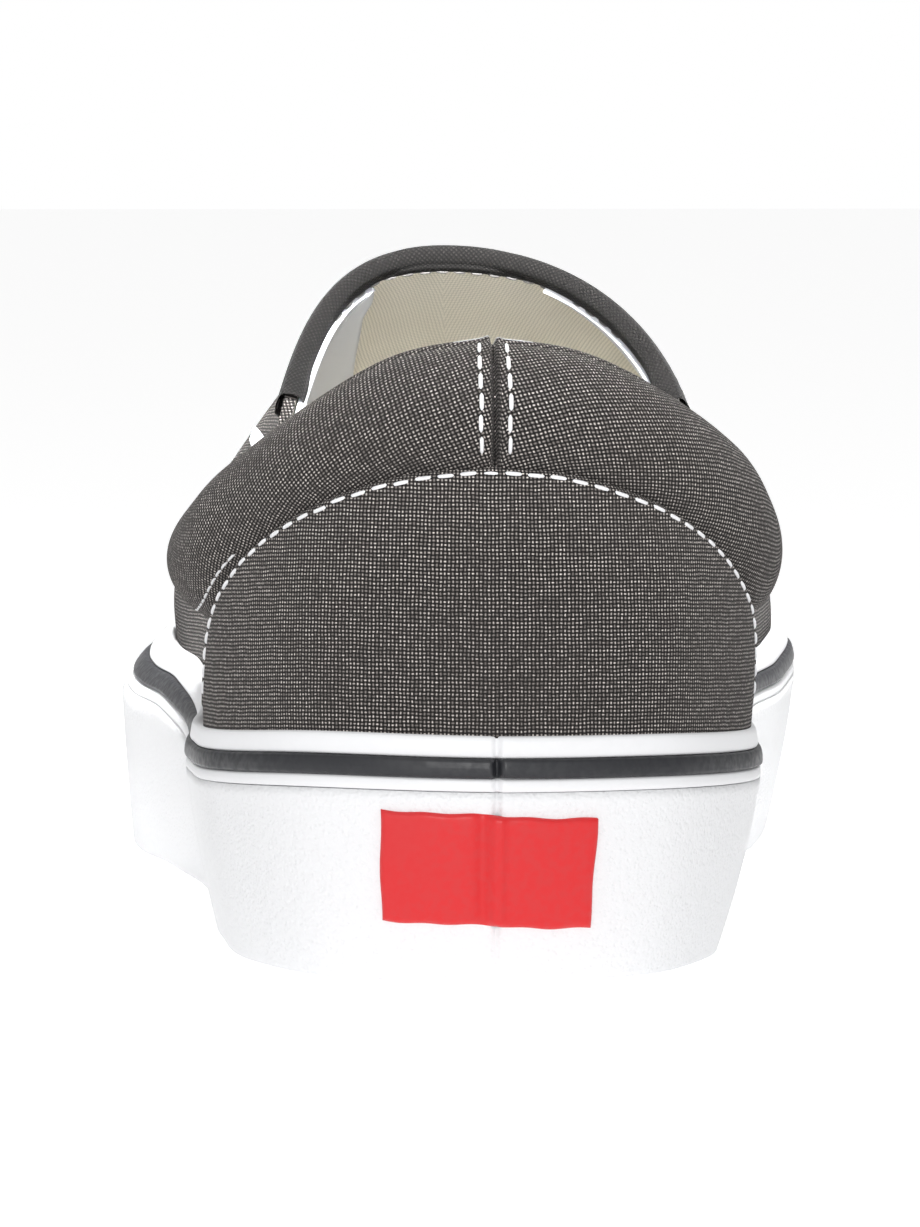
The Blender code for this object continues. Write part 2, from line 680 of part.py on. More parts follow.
def slab(name, inset, low, high, across, material):
    """A plate over the whole sole, inside its edge, between two heights given along the shoe."""
    stations = side_stations()
    share = np.linspace(0, 1, across + 1)
    lateral = inside_edge(stations, inset(stations), 0)
    medial = inside_edge(2 - stations, inset(2 - stations), 0)
    plan = lateral[:, None] + (medial - lateral)[:, None] * share[None, :, None]
    under, over = plan.copy(), plan.copy()
    under[..., 2] = low(plan[..., 1])
    over[..., 2] = high(plan[..., 1])
    made = plate(name, over, under, material)
    shape = bmesh.new()
    shape.from_mesh(made.data)
    bmesh.ops.remove_doubles(shape, verts=shape.verts, dist=1e-6)
    bmesh.ops.recalc_face_normals(shape, faces=shape.faces)
    shape.to_mesh(made.data)
    shape.free()
    return made


def make_outsole(material):
    """The sole inside the side wall, with cross grooves between its main lugs."""
    made = slab("outsole", feather_inset, ground_height, outsole_top, 4, material)
    starts = [(0.055, 8), (0.56, 11)]
    points, faces = [], []
    for start, count in starts:
        for k in range(count):
            y = (start - 0.5) * SHOE_LENGTH + k * TREAD_PITCH
            roof = ground_height(np.array(y)) + TREAD_DEPTH
            low = -0.004
            half, narrow = TREAD_GROOVE / 2, TREAD_GROOVE * 0.32
            base = len(points)
            for x in (-BALL_WIDTH, BALL_WIDTH):
                points += [(x, y - half, low), (x, y + half, low), (x, y + narrow, roof)]
                points += [(x, y - narrow, roof)]
            for i in range(4):
                j = (i + 1) % 4
                faces.append((base + i, base + 4 + i, base + 4 + j, base + j))
            faces.append(tuple(base + i for i in range(4)))
            faces.append(tuple(base + 4 + i for i in (3, 2, 1, 0)))
    cutter = new_object("tread_cutter", np.array(points, float), faces, None)
    cutter.hide_render = True
    cutter.display_type = "WIRE"
    shape = bmesh.new()
    shape.from_mesh(cutter.data)
    bmesh.ops.recalc_face_normals(shape, faces=shape.faces)
    shape.to_mesh(cutter.data)
    shape.free()
    modifier = made.modifiers.new("tread_grooves", "BOOLEAN")
    modifier.object = cutter
    modifier.operation = "DIFFERENCE"
    modifier.solver = "EXACT"
    return made


def make_insole(material):
    """The footbed, resting inside the canvas on the outsole."""

    def inset(lap):
        return feather_inset(lap) + CANVAS_WALL + GAP + INSOLE_CLEARANCE

    def low(y):
        return outsole_top(y) + GAP

    def high(y):
        return outsole_top(y) + GAP + INSOLE_THICKNESS

    return slab("insole", inset, low, high, 3, material)


def make_counter(material):
    """The heel counter, the canvas panel that covers the heel below the collar."""
    laps = heel_laps(COUNTER_END_STATION)
    low = rise_at_height(laps, sole_side(laps, 1.0)[..., 2] + GAP * 1.5)
    high = rise_at_height(laps, seam_height("counter", laps) - GAP / 2)
    share = np.linspace(0, 1, 6)
    rise = low[:, None] + (high - low)[:, None] * share
    lap = np.broadcast_to(laps[:, None], rise.shape)
    outer = lifted(lap, rise, np.full(rise.shape, GAP + COUNTER_THICKNESS))
    inner = lifted(lap, rise, np.full(rise.shape, GAP))
    return plate("heel_counter", outer, inner, material)


def make_collar(material):
    """The padded collar round the heel and the ankles, over the canvas wall."""
    laps = heel_laps(COLLAR_END_STATION)
    low = rise_at_height(laps, seam_height("collar", laps) + GAP / 2)
    share = np.linspace(0, 1, 9)
    rise = low[:, None] + (1 - low)[:, None] * share
    lap = np.broadcast_to(laps[:, None], rise.shape)
    bulge = COLLAR_BULGE_OUT * padding(lap, rise, PAD_FADE_STATIONS)
    outer = lifted(lap, rise, GAP + COLLAR_EDGE + bulge)
    inner = lifted(lap, rise, np.full(rise.shape, GAP))
    return plate("padded_collar", outer, inner, material)


def gore_reach():
    """How far a gore reaches along the side from its middle, as a change of station."""
    return (GORE_TOP_WIDTH / 2 + GORE_OVERLAP) / edge_length()


def make_gore(side, side_name, material):
    """An elastic gore behind the notch in the canvas, open to the topline."""
    centre, reach = GORE_STATION, gore_reach()
    stations = side_stations()
    inside = stations[(stations > centre - reach) & (stations < centre + reach)]
    stations = np.concatenate([[centre - reach], inside, [centre + reach]])
    laps = stations if side < 0 else 2 - stations[::-1]
    low = rise_at_height(laps, GORE_BOTTOM - GORE_OVERLAP)
    share = np.linspace(0, 1, 7)
    rise = low[:, None] + (0.985 - low)[:, None] * share
    lap = np.broadcast_to(laps[:, None], rise.shape)
    face = lining_wall(lap, rise)
    normal = wall_normal(lap, rise)
    return plate(
        f"{side_name}_gore", face - normal * GAP, face - normal * (GAP + GORE_THICKNESS), material
    )


def wall_tree():
    """The canvas wall's own facets, to find the nearest place on it."""
    lap_grid, rise_grid = grid(shoe_laps(), np.linspace(0, 1, WALL_ROWS + 1))
    surface = wall_base(lap_grid, rise_grid)
    columns, rows = surface.shape[:2]
    quads = []
    for k in range(columns):
        after = (k + 1) % columns
        for j in range(rows - 1):
            here, there = k * rows + j, after * rows + j
            quads.append((here, here + 1, there + 1, there))
    return BVHTree.FromPolygons([tuple(p) for p in surface.reshape(-1, 3)], quads)


def binding_laps():
    """The columns of the throat's binding, the upper's own between the gores."""
    start = GORE_STATION + BINDING_START
    stations = side_stations()
    side = stations[(stations > start + 0.002) & (stations < PEAK_STATION + 1e-9)]
    side = np.append(start, side)
    return np.concatenate([side, 2 - side[-2::-1]])


def fold_section(places, normals, out, inside, cap):
    """The open line of a fold over the edge: up the outside, over the rim and down the inside.

    out and inside are how far the line stands off the wall's outer face, and cap is how far it
    passes over the edge.
    """
    edge, normal = places[0], normals[0]
    downward = places[1] - places[0]
    downward /= np.linalg.norm(downward)
    middle, half = (out - inside) / 2, (out + inside) / 2
    line = [p + n * out for p, n in zip(places[::-1], normals[::-1])]
    for angle in np.radians([45, 90, 135]):
        line.append(
            edge + normal * (middle + half * math.cos(angle)) - downward * cap * math.sin(angle)
        )
    line += [p - n * inside for p, n in zip(places, normals)]
    return line


def make_binding(material):
    """The tape folded over the throat's edge, from one gore to the other.

    Each column starts on the topline and steps down the canvas, square to the edge. Inside, the
    fold passes over the gores' ends first and then lies against the lining.
    """
    tree = wall_tree()
    laps = binding_laps()
    edge = wall_base(laps, 1.0)
    tangent = np.gradient(edge, axis=0)
    stations = station_of(laps)[0]
    gore_end = GORE_STATION + gore_reach()
    over_gore = 1 - smooth_step(gore_end + 0.002, gore_end + 0.016, stations)
    sections = []
    for k, point in enumerate(edge):
        places, normals = [], []
        for _ in range(BINDING_ROWS):
            place, normal = [np.array(v) for v in tree.find_nearest(Vector(point))[:2]]
            places.append(place)
            normals.append(normal)
            down = np.cross(normal, tangent[k])
            point = place + down / np.linalg.norm(down) * BINDING_WIDTH / (BINDING_ROWS - 1)
        out = GAP * 2
        inside = CANVAS_WALL + GAP * 2 + (GORE_THICKNESS + GAP) * over_gore[k]
        cap = CANVAS_WALL / 2 * RIM_ROUND + GAP
        tape = BINDING_THICKNESS
        shown = fold_section(places, normals, out + tape, inside + tape, cap + tape)
        hidden = fold_section(places, normals, out, inside, cap)
        sections.append(shown + hidden[::-1])
    sections = np.array(sections)
    made = ring("throat_binding", sections, material)
    close_ends(made, sections)
    return made


def close_ends(made, sections):
    """Turns a ring into an open strip with its two ends filled."""
    columns, size = sections.shape[:2]
    shape = bmesh.new()
    shape.from_mesh(made.data)
    shape.verts.ensure_lookup_table()
    first = set(range(size))
    last = set(range((columns - 1) * size, columns * size))
    joining = []
    for face in shape.faces:
        used = {v.index for v in face.verts}
        if used & first and used & last:
            joining.append(face)
    bmesh.ops.delete(shape, geom=joining, context="FACES_ONLY")
    half = size // 2
    for base in (0, (columns - 1) * size):
        for j in range(half - 1):
            corners = [base + j, base + j + 1, base + size - 2 - j, base + size - 1 - j]
            shape.verts.ensure_lookup_table()
            shape.faces.new([shape.verts[i] for i in corners])
    bmesh.ops.recalc_face_normals(shape, faces=shape.faces)
    shape.to_mesh(made.data)
    shape.free()


def make_label(material):
    """The plain heel label on the lower wall."""
    half = LABEL_WIDTH / 2 / edge_length()
    laps = HEEL_SEAM_LAP + np.linspace(-half, half, 9)
    low = LABEL_BOTTOM / FOXING_HEIGHT
    high = low + LABEL_HEIGHT / FOXING_HEIGHT
    lap, share = grid(laps, np.linspace(low, high, 6))
    outer = sole_side(lap, share, GAP + LABEL_THICKNESS)
    inner = sole_side(lap, share, GAP)
    return plate("heel_label", outer, inner, material)


def edge_length():
    """The length of one side of the sole's edge, heel to toe."""
    x, y = EDGE_COLUMNS[:2]
    return float(np.hypot(np.diff(x), np.diff(y)).sum()) / 2


def make_material(name, colour, roughness):
    material = bpy.data.materials.new(name)
    material.use_nodes = True
    shader = material.node_tree.nodes["Principled BSDF"]
    shader.inputs["Base Color"].default_value = (*colour, 1)
    shader.inputs["Roughness"].default_value = roughness
    return material


def main():
    for old in list(bpy.data.objects):
        bpy.data.objects.remove(old)
    canvas = make_material("dark_canvas", (0.09, 0.08, 0.075), 0.9)
    padded = make_material("padded_canvas", (0.10, 0.09, 0.085), 0.9)
    panel = make_material("counter_canvas", (0.08, 0.075, 0.07), 0.9)
    white = make_material("white_rubber", (0.86, 0.87, 0.88), 0.5)
    tape = make_material("white_tape", (0.88, 0.89, 0.90), 0.45)
    dark = make_material("dark_rubber", (0.04, 0.045, 0.05), 0.5)
    sole = make_material("sole_rubber", (0.62, 0.50, 0.34), 0.6)
    red = make_material("red_rubber", (0.75, 0.05, 0.05), 0.45)
    elastic = make_material("elastic", (0.75, 0.77, 0.82), 0.8)
    binding = make_material("binding_tape", (0.07, 0.065, 0.06), 0.9)
    footbed = make_material("footbed", (0.55, 0.50, 0.40), 0.9)
    make_upper(canvas)
    make_foxing(white)
    make_foxing_tape(tape)
    make_stripe(dark)
    make_outsole(sole)
    make_insole(footbed)
    make_counter(panel)
    make_collar(padded)
    make_gore(-1, "lateral", elastic)
    make_gore(1, "medial", elastic)
    make_binding(binding)
    make_label(red)


if __name__ == "__main__":
    main()
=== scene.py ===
import math
from collections import namedtuple

import bmesh
import bpy
import numpy as np
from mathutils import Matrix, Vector
from mathutils.bvhtree import BVHTree


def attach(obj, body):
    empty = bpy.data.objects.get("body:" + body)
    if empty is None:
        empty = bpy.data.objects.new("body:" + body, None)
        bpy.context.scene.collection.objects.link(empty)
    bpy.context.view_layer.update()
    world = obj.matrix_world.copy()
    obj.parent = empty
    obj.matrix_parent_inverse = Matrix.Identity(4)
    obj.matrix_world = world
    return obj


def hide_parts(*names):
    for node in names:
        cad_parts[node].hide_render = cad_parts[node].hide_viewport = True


bl_info = {
    "name": "Canvas Slip-on Sneaker",
    "version": (1, 0, 0),
    "blender": (4, 5, 0),
    "location": "View3D > Sidebar > Slip-on",
    "description": "Makes the finished pieces of a left canvas slip-on sneaker over its solids",
    "category": "Add Mesh",
}

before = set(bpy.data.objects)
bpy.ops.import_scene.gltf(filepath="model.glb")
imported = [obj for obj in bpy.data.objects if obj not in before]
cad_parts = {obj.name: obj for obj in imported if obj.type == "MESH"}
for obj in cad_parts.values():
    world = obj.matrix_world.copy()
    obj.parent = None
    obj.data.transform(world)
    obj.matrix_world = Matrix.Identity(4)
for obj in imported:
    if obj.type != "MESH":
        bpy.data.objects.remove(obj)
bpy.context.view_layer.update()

# The shoe's own sizes, as in its solids
SHOE_LENGTH = 0.288
BALL_WIDTH = 0.1076
HEEL_WIDTH = 0.0784
HEEL_OFFSET = 0.0038
FOXING_HEIGHT = 0.033
TOE_SPRING = 0.011
ARCH_RISE = 0.0012
HEEL_COLLAR_HEIGHT = 0.0841
ANKLE_HEIGHT = 0.0595
INSTEP_HEIGHT = 0.0938
TOE_BOX_HEIGHT = 0.0475
CONE_HEIGHT = 0.114
CANVAS_WALL = 0.0018
COUNTER_HEIGHT = 0.0683
FOXING_TAPE = 0.0015
FOXING_FOOT = 0.0026
TAPE_STEP = 0.0006
OUTSOLE_HEEL = 0.012
OUTSOLE_BALL = 0.0085
GORE_THICKNESS = 0.0012
GORE_BOTTOM = 0.0395
GORE_TOP_WIDTH = 0.021
GORE_FOOT_WIDTH = 0.0085
GORE_OVERLAP = 0.006
GORE_STATION = 0.365
GAP = 0.0003
WIDEST_SHARE = 0.72
STEP_SHARE = 0.775
STRIPE_SHARES = (0.830, 0.912)
PEAK_STATION = 0.450
COLLAR_END_STATION = 0.335
PAD_FADE_STATIONS = (0.290, 0.345)
LINING_PAD_FADE_STATIONS = (0.270, 0.315)
BINDING_START = 0.022
LABEL_WIDTH = 0.0291
LABEL_HEIGHT = 0.0149
LABEL_BOTTOM = 0.0077
PAD_HEIGHT = 0.0042
HEEL_SEAM_SHIFT = 0.0008
BINDING_INSIDE_ROWS = 5
GORE_FRONT = {-1: (0.560, 0.77, 0.428, 0.472), 1: (0.448, 0.90, 0.395, 0.446)}
EDGE_SAMPLES = 1440

# The sole's edge at its widest, from the back of the heel round the lateral side to the toe and
# back along the medial side. along is a share of the length. across is a share of half the width
# that the row follows, from that width's own middle. The last three are shares of the foxing's
# height: how far the foot of the wall is cut under, how far its top leans in, and how high it is.
EdgeRow = namedtuple("EdgeRow", "place follows along across undercut lean height")
SOLE_EDGE = [
    EdgeRow("heel back", "heel", 0.000, 0.000, 0.105, 0.020, 1.000),
    EdgeRow("lateral heel round", "heel", 0.024, -0.620, 0.125, 0.020, 1.006),
    EdgeRow("lateral heel corner", "heel", 0.083, -0.900, 0.135, 0.022, 0.962),
    EdgeRow("lateral heel side", "heel", 0.180, -1.000, 0.125, 0.028, 0.915),
    EdgeRow("lateral waist", "heel", 0.330, -1.020, 0.110, 0.090, 0.895),
    EdgeRow("lateral shank", "ball", 0.452, -0.902, 0.065, 0.165, 0.940),
    EdgeRow("lateral ball", "ball", 0.615, -1.000, 0.050, 0.215, 0.965),
    EdgeRow("lateral forefoot", "ball", 0.753, -0.944, 0.070, 0.190, 0.950),
    EdgeRow("lateral toe side", "ball", 0.875, -0.730, 0.095, 0.155, 0.895),
    EdgeRow("lateral toe corner", "ball", 0.965, -0.355, 0.110, 0.130, 0.880),
    EdgeRow("toe tip", "ball", 1.000, 0.095, 0.110, 0.130, 0.880),
    EdgeRow("medial toe corner", "ball", 0.969, 0.525, 0.115, 0.125, 0.885),
    EdgeRow("medial toe side", "ball", 0.896, 0.813, 0.125, 0.115, 0.900),
    EdgeRow("medial forefoot", "ball", 0.806, 0.963, 0.130, 0.085, 0.960),
    EdgeRow("medial ball", "ball", 0.705, 1.000, 0.130, 0.065, 0.985),
    EdgeRow("medial shank", "ball", 0.555, 0.900, 0.130, 0.055, 0.965),
    EdgeRow("medial waist", "heel", 0.382, 1.040, 0.150, 0.045, 0.900),
    EdgeRow("medial heel side", "heel", 0.190, 1.000, 0.165, 0.028, 0.915),
    EdgeRow("medial heel corner", "heel", 0.083, 0.900, 0.160, 0.022, 0.950),
    EdgeRow("medial heel round", "heel", 0.024, 0.620, 0.125, 0.020, 0.988),
]

# Sections across the last. station runs from the heel back, 0, to the toe tip, 1, along each side
# of the sole's edge. The section's top lies on the ridge: ridge_along and ridge_across are shares
# of the length and of half the ball's width. ridge_rise is 0 at the toe box's height, 1 at the
# instep's and 2 at the cone's, which the collar's opening cuts off. The rest shape the wall from
# its foot to the ridge as shares of its rise and of its reach: how far it goes up and leans in
# from its foot, and how far out and down it starts from the ridge, on each side.
Section = namedtuple(
    "Section",
    "station ridge_along ridge_across ridge_rise foot_up ridge_down "
    "lateral_in lateral_out medial_in medial_out",
)
LAST_SECTIONS = [
    Section(0.00, 0.150, -0.070, 2.00, 0.66, 0.10, -0.05, 0.62, -0.05, 0.62),
    Section(0.10, 0.165, -0.070, 2.00, 0.64, 0.10, -0.04, 0.64, -0.08, 0.64),
    Section(0.20, 0.205, -0.075, 1.95, 0.60, 0.08, -0.05, 0.68, -0.12, 0.68),
    Section(0.30, 0.280, -0.085, 1.70, 0.56, 0.04, 0.08, 0.70, -0.11, 0.70),
    Section(0.38, 0.355, -0.100, 1.36, 0.54, 0.00, 0.36, 0.75, -0.08, 0.69),
    Section(0.45, 0.430, -0.100, 1.00, 0.52, 0.00, 0.36, 0.68, -0.08, 0.68),
    Section(0.52, 0.505, -0.080, 0.74, 0.55, 0.00, 0.02, 0.60, -0.02, 0.62),
    Section(0.60, 0.590, -0.045, 0.48, 0.62, 0.00, -0.10, 0.55, -0.04, 0.60),
    Section(0.70, 0.690, 0.000, 0.22, 0.74, 0.00, -0.01, 0.57, 0.02, 0.58),
    Section(0.80, 0.780, 0.040, 0.07, 0.86, 0.00, 0.00, 0.60, 0.00, 0.60),
    Section(0.90, 0.848, 0.075, 0.01, 0.96, 0.00, -0.02, 0.62, -0.02, 0.62),
    Section(1.00, 0.868, 0.085, 0.00, 1.00, 0.00, -0.03, 0.62, -0.03, 0.62),
]

# The top edge. Behind the ankle a height is a share of the way from the ankle to the heel's
# collar, and in front of it a share of the way from the ankle to the instep.
TopRow = namedtuple("TopRow", "station follows lateral medial")
TOPLINE = [
    TopRow(0.000, "heel", 1.00, 1.00),
    TopRow(0.045, "heel", 0.90, 0.92),
    TopRow(0.090, "heel", 0.63, 0.70),
    TopRow(0.150, "heel", 0.28, 0.39),
    TopRow(0.210, "heel", 0.06, 0.13),
    TopRow(0.280, "heel", -0.03, -0.02),
    TopRow(0.340, "instep", 0.07, 0.06),
    TopRow(0.385, "instep", 0.28, 0.26),
    TopRow(0.415, "instep", 0.56, 0.54),
    TopRow(0.435, "instep", 0.80, 0.79),
    TopRow(0.450, "instep", 1.00, 1.00),
]

# The counter's top edge and the collar's lower seam, by station, as shares of the way up from
# the foxing to the counter's height.
SeamRow = namedtuple("SeamRow", "station counter collar")
SEAMS = [
    SeamRow(0.000, 1.000, 1.000),
    SeamRow(0.036, 0.965, 0.978),
    SeamRow(0.066, 0.885, 0.898),
    SeamRow(0.098, 0.765, 0.772),
    SeamRow(0.135, 0.590, 0.602),
    SeamRow(0.170, 0.340, 0.450),
    SeamRow(0.192, 0.080, 0.415),
    SeamRow(0.250, -0.100, 0.410),
    SeamRow(0.300, -0.200, 0.420),
    SeamRow(1.000, -0.200, 0.420),
]


def hermite(knots, values, at):
    """A smooth curve through values at knots, read at the places in at.

    Each stretch is the cubic that meets its ends with the slope of the parabola through the
    neighbouring knots, so the curve has no corner and hardly overshoots.
    """
    knots = np.asarray(knots, float)
    values = np.asarray(values, float)
    steps = np.diff(knots)
    slopes = np.diff(values) / steps
    inner = (slopes[:-1] * steps[1:] + slopes[1:] * steps[:-1]) / (steps[:-1] + steps[1:])
    tangents = np.concatenate([[slopes[0]], inner, [slopes[-1]]])
    at = np.clip(at, knots[0], knots[-1])
    cell = np.clip(np.searchsorted(knots, at, side="right") - 1, 0, len(steps) - 1)
    width = steps[cell]
    t = (at - knots[cell]) / width
    return (
        values[cell] * (1 + 2 * t) * (1 - t) ** 2
        + tangents[cell] * width * t * (1 - t) ** 2
        + values[cell + 1] * t * t * (3 - 2 * t)
        + tangents[cell + 1] * width * t * t * (t - 1)
    )


def smooth_step(low, high, value):
    """0 below low, 1 above high and an S curve between them."""
    t = np.clip((value - low) / (high - low), 0, 1)
    return t * t * (3 - 2 * t)


def row_points():
    """The rows of SOLE_EDGE in metres, along from the heel back and across from the origin."""
    middle = {"heel": -HEEL_OFFSET, "ball": 0.0}
    half = {"heel": HEEL_WIDTH / 2, "ball": BALL_WIDTH / 2}
    across = [middle[r.follows] + r.across * half[r.follows] for r in SOLE_EDGE]
    along = [r.along * SHOE_LENGTH for r in SOLE_EDGE]
    return np.array(across), np.array(along)


def closed_curve():
    """The sole's edge as a dense closed line, with the wall's three shares along it.

    The rows are joined by a smooth closed curve over the length between them. It is then fitted
    to the length and the ball width exactly, so the origin stays in the middle of its box.
    """
    across, along = row_points()
    shares = [[getattr(r, name) for r in SOLE_EDGE] for name in ("undercut", "lean", "height")]
    lap = 3
    chord = np.hypot(np.diff(across, append=across[0]), np.diff(along, append=along[0]))
    length = chord.sum()
    knots = np.concatenate([[0], np.cumsum(np.tile(chord, lap))])[:-1] - length
    at = np.arange(EDGE_SAMPLES) / EDGE_SAMPLES * length
    dense = [hermite(knots, np.tile(v, lap), at) for v in (across, along, *shares)]
    x = (dense[0] - (dense[0].max() + dense[0].min()) / 2) * BALL_WIDTH / np.ptp(dense[0])
    y = (dense[1] - dense[1].min()) * SHOE_LENGTH / np.ptp(dense[1]) - SHOE_LENGTH / 2
    return x, y, *dense[2:]


def edge_table():
    """The dense edge with its outward normal and its lap, 0 at the heel, 1 at the toe, 2 again
    at the heel, each side growing evenly with its length."""
    x, y, undercut, lean, height = closed_curve()
    tangent = np.stack([np.roll(x, -1) - np.roll(x, 1), np.roll(y, -1) - np.roll(y, 1)])
    tangent /= np.linalg.norm(tangent, axis=0)
    normal_x, normal_y = -tangent[1], tangent[0]
    steps = np.hypot(np.roll(x, -1) - x, np.roll(y, -1) - y)
    run = np.concatenate([[0], np.cumsum(steps)])
    toe = int(np.argmax(y))
    lateral = run[: toe + 1] / run[toe]
    medial = 1 + (run[toe + 1 :] - run[toe]) / (run[-1] - run[toe])
    lap = np.concatenate([lateral, medial])
    columns = (x, y, normal_x, normal_y, undercut, lean, height)
    return lap, [np.append(c, c[0]) for c in columns]


EDGE_LAP, EDGE_COLUMNS = edge_table()


def edge_at(lap):
    """x, y, outward normal x and y, undercut, lean and height share of the edge at a lap."""
    return [np.interp(np.mod(lap, 2.0), EDGE_LAP, column) for column in EDGE_COLUMNS]


def ground_height(y):
    """The height of the sole's underside: flat under heel and ball, a low arch between them and
    the toe spring in front."""
    share = y / SHOE_LENGTH + 0.5
    arch = ARCH_RISE * smooth_step(0.26, 0.38, share) * (1 - smooth_step(0.44, 0.56, share))
    spring = TOE_SPRING * np.clip((share - 0.70) / 0.30, 0, None) ** 2
    return arch + spring


def sole_side(lap, share, lift=0.0):
    """A point on the rubber side wall.

    share is the height as a share of the wall there, and lift is how far the point stands out
    of the wall. The wall is widest at WIDEST_SHARE, cut under below it and leaning in above it.
    """
    x, y, nx, ny, undercut, lean, height = edge_at(lap)
    below = np.clip(1 - share / WIDEST_SHARE, 0, 1) ** 1.35
    above = np.clip((share - WIDEST_SHARE) / (1 - WIDEST_SHARE), 0, 1) ** 1.15
    out = lift - (undercut * below + lean * above) * FOXING_HEIGHT
    z = ground_height(y) + share * height * FOXING_HEIGHT
    return np.stack([x + nx * out, y + ny * out, z + 0 * out], axis=-1)


def outsole_top(y):
    """The height of the outsole's upper side, thicker under the heel than under the ball."""
    share = y / SHOE_LENGTH + 0.5
    wedge = 1 - smooth_step(0.30, 0.66, share)
    return ground_height(y) + OUTSOLE_BALL + (OUTSOLE_HEEL - OUTSOLE_BALL) * wedge


def feather_inset(lap):
    """How far inside the sole's widest edge the outsole ends and the canvas comes down."""
    return edge_at(lap)[4] * FOXING_HEIGHT + FOXING_FOOT + GAP


def inside_edge(lap, inset, z):
    """A point a way inside the sole's widest edge, at the height z."""
    x, y, nx, ny = edge_at(lap)[:4]
    return np.stack([x - nx * inset, y - ny * inset, z + 0 * x], axis=-1)


def station_of(lap):
    """The section's station at a lap, and the side, -1 lateral and 1 medial."""
    lap = np.mod(lap, 2.0)
    return np.where(lap <= 1, lap, 2 - lap), np.where(lap <= 1, -1, 1)


def section_value(name, station):
    """One column of LAST_SECTIONS, read smoothly at a station."""
    return hermite(
        [s.station for s in LAST_SECTIONS], [getattr(s, name) for s in LAST_SECTIONS], station
    )


def wall_handles(lap):
    """The four handles of the wall's cubic, from the foxing's top edge up to the ridge."""
    station, side = station_of(lap)
    foot = sole_side(lap, 1.0, -FOXING_TAPE)
    rise = section_value("ridge_rise", station)
    low = TOE_BOX_HEIGHT + np.clip(rise, 0, 1) * (INSTEP_HEIGHT - TOE_BOX_HEIGHT)
    ridge_z = low + np.clip(rise - 1, 0, 1) * (CONE_HEIGHT - INSTEP_HEIGHT)
    ridge_x = section_value("ridge_across", station) * BALL_WIDTH / 2
    ridge_y = (section_value("ridge_along", station) - 0.5) * SHOE_LENGTH
    ridge = np.stack([ridge_x, ridge_y, ridge_z], axis=-1)
    reach = ridge - foot
    flat = reach * np.array([1, 1, 0])
    up = reach * np.array([0, 0, 1])

    def share(name):
        return section_value(name, station)[..., None]

    def sided(name):
        lateral, medial = share("lateral_" + name), share("medial_" + name)
        return np.where(side[..., None] < 0, lateral, medial)

    first = foot + up * share("foot_up") + flat * sided("in")
    second = ridge - flat * sided("out") - up * share("ridge_down")
    return foot, first, second, ridge


def cubic(handles, t):
    """The cubic curve with four handles at t."""
    t = np.asarray(t, float)[..., None]
    a, b, c, d = handles
    return a * (1 - t) ** 3 + 3 * b * t * (1 - t) ** 2 + 3 * c * t * t * (1 - t) + d * t**3


def topline_height(lap):
    """The height of the collar's and the throat's edge, above which the last is cut off."""
    station, side = station_of(lap)
    heights = {"heel": HEEL_COLLAR_HEIGHT, "instep": INSTEP_HEIGHT}
    knots = [r.station for r in TOPLINE]
    made = []
    for name in ("lateral", "medial"):
        z = [ANKLE_HEIGHT + getattr(r, name) * (heights[r.follows] - ANKLE_HEIGHT) for r in TOPLINE]
        made.append(hermite(knots, z, station))
    return np.where(side < 0, made[0], made[1])


def top_share(lap):
    """Where on the wall's cubic the topline cuts it, found by halving; 1 along the vamp."""
    station = station_of(lap)[0]
    handles = wall_handles(lap)
    want = topline_height(lap)
    low, high = np.zeros_like(want), np.ones_like(want)
    for _ in range(40):
        middle = (low + high) / 2
        under = cubic(handles, middle)[..., 2] < want
        low, high = np.where(under, middle, low), np.where(under, high, middle)
    return np.where(station >= PEAK_STATION, 1.0, low)


def wall_base(lap, rise):
    """The canvas's outer face. rise is 0 at the foxing's top edge, 1 at the topline or the ridge,
    and down to -1 at the wall's foot inside the rubber."""
    lap, rise = np.broadcast_arrays(np.asarray(lap, float), np.asarray(rise, float))
    handles = wall_handles(lap)
    shown = cubic(handles, np.clip(rise, 0, 1) * top_share(lap))
    foot = inside_edge(lap, feather_inset(lap), 0)
    foot[..., 2] = outsole_top(foot[..., 1]) + GAP
    return shown + (foot - handles[0]) * np.clip(-rise, 0, 1)[..., None]


def rise_at_height(lap, z):
    """The rise at which the canvas wall reaches the height z, found by halving."""
    lap, z = np.broadcast_arrays(np.asarray(lap, float), np.asarray(z, float))
    low, high = -np.ones_like(z), np.ones_like(z)
    for _ in range(30):
        middle = (low + high) / 2
        under = wall_base(lap, middle)[..., 2] < z
        low, high = np.where(under, middle, low), np.where(under, high, middle)
    return low


def wall_normal(lap, rise):
    """The outward normal of the canvas, from the slopes along the shoe and up the wall."""
    near = 0.0004
    lap, rise = np.broadcast_arrays(np.asarray(lap, float), np.asarray(rise, float))
    rise = np.clip(rise, -0.99, 0.985)
    along = wall_base(lap + near, rise) - wall_base(lap - near, rise)
    top = np.minimum(rise + 10 * near, 1)
    up = wall_base(lap, top) - wall_base(lap, top - 20 * near)
    normal = np.cross(up, along)
    return normal / np.linalg.norm(normal, axis=-1, keepdims=True)


def seam_height(name, lap):
    """The height of the counter's top edge or of the collar's lower seam."""
    station = station_of(lap)[0]
    share = hermite([s.station for s in SEAMS], [getattr(s, name) for s in SEAMS], station)
    top = sole_side(lap, 1.0)[..., 2]
    return top + share * (COUNTER_HEIGHT - top)


def padding(lap, rise, fade):
    """How full the collar's padding is: 0 at its lower seam and at the topline, 1 between."""
    station = station_of(lap)[0]
    z = wall_base(lap, rise)[..., 2]
    low = seam_height("collar", lap)
    share = np.clip((z - low) / (topline_height(lap) - low), 0, 1)
    full = np.sin(np.pi * share**0.95) ** 0.65
    return full * (1 - smooth_step(*fade, station))


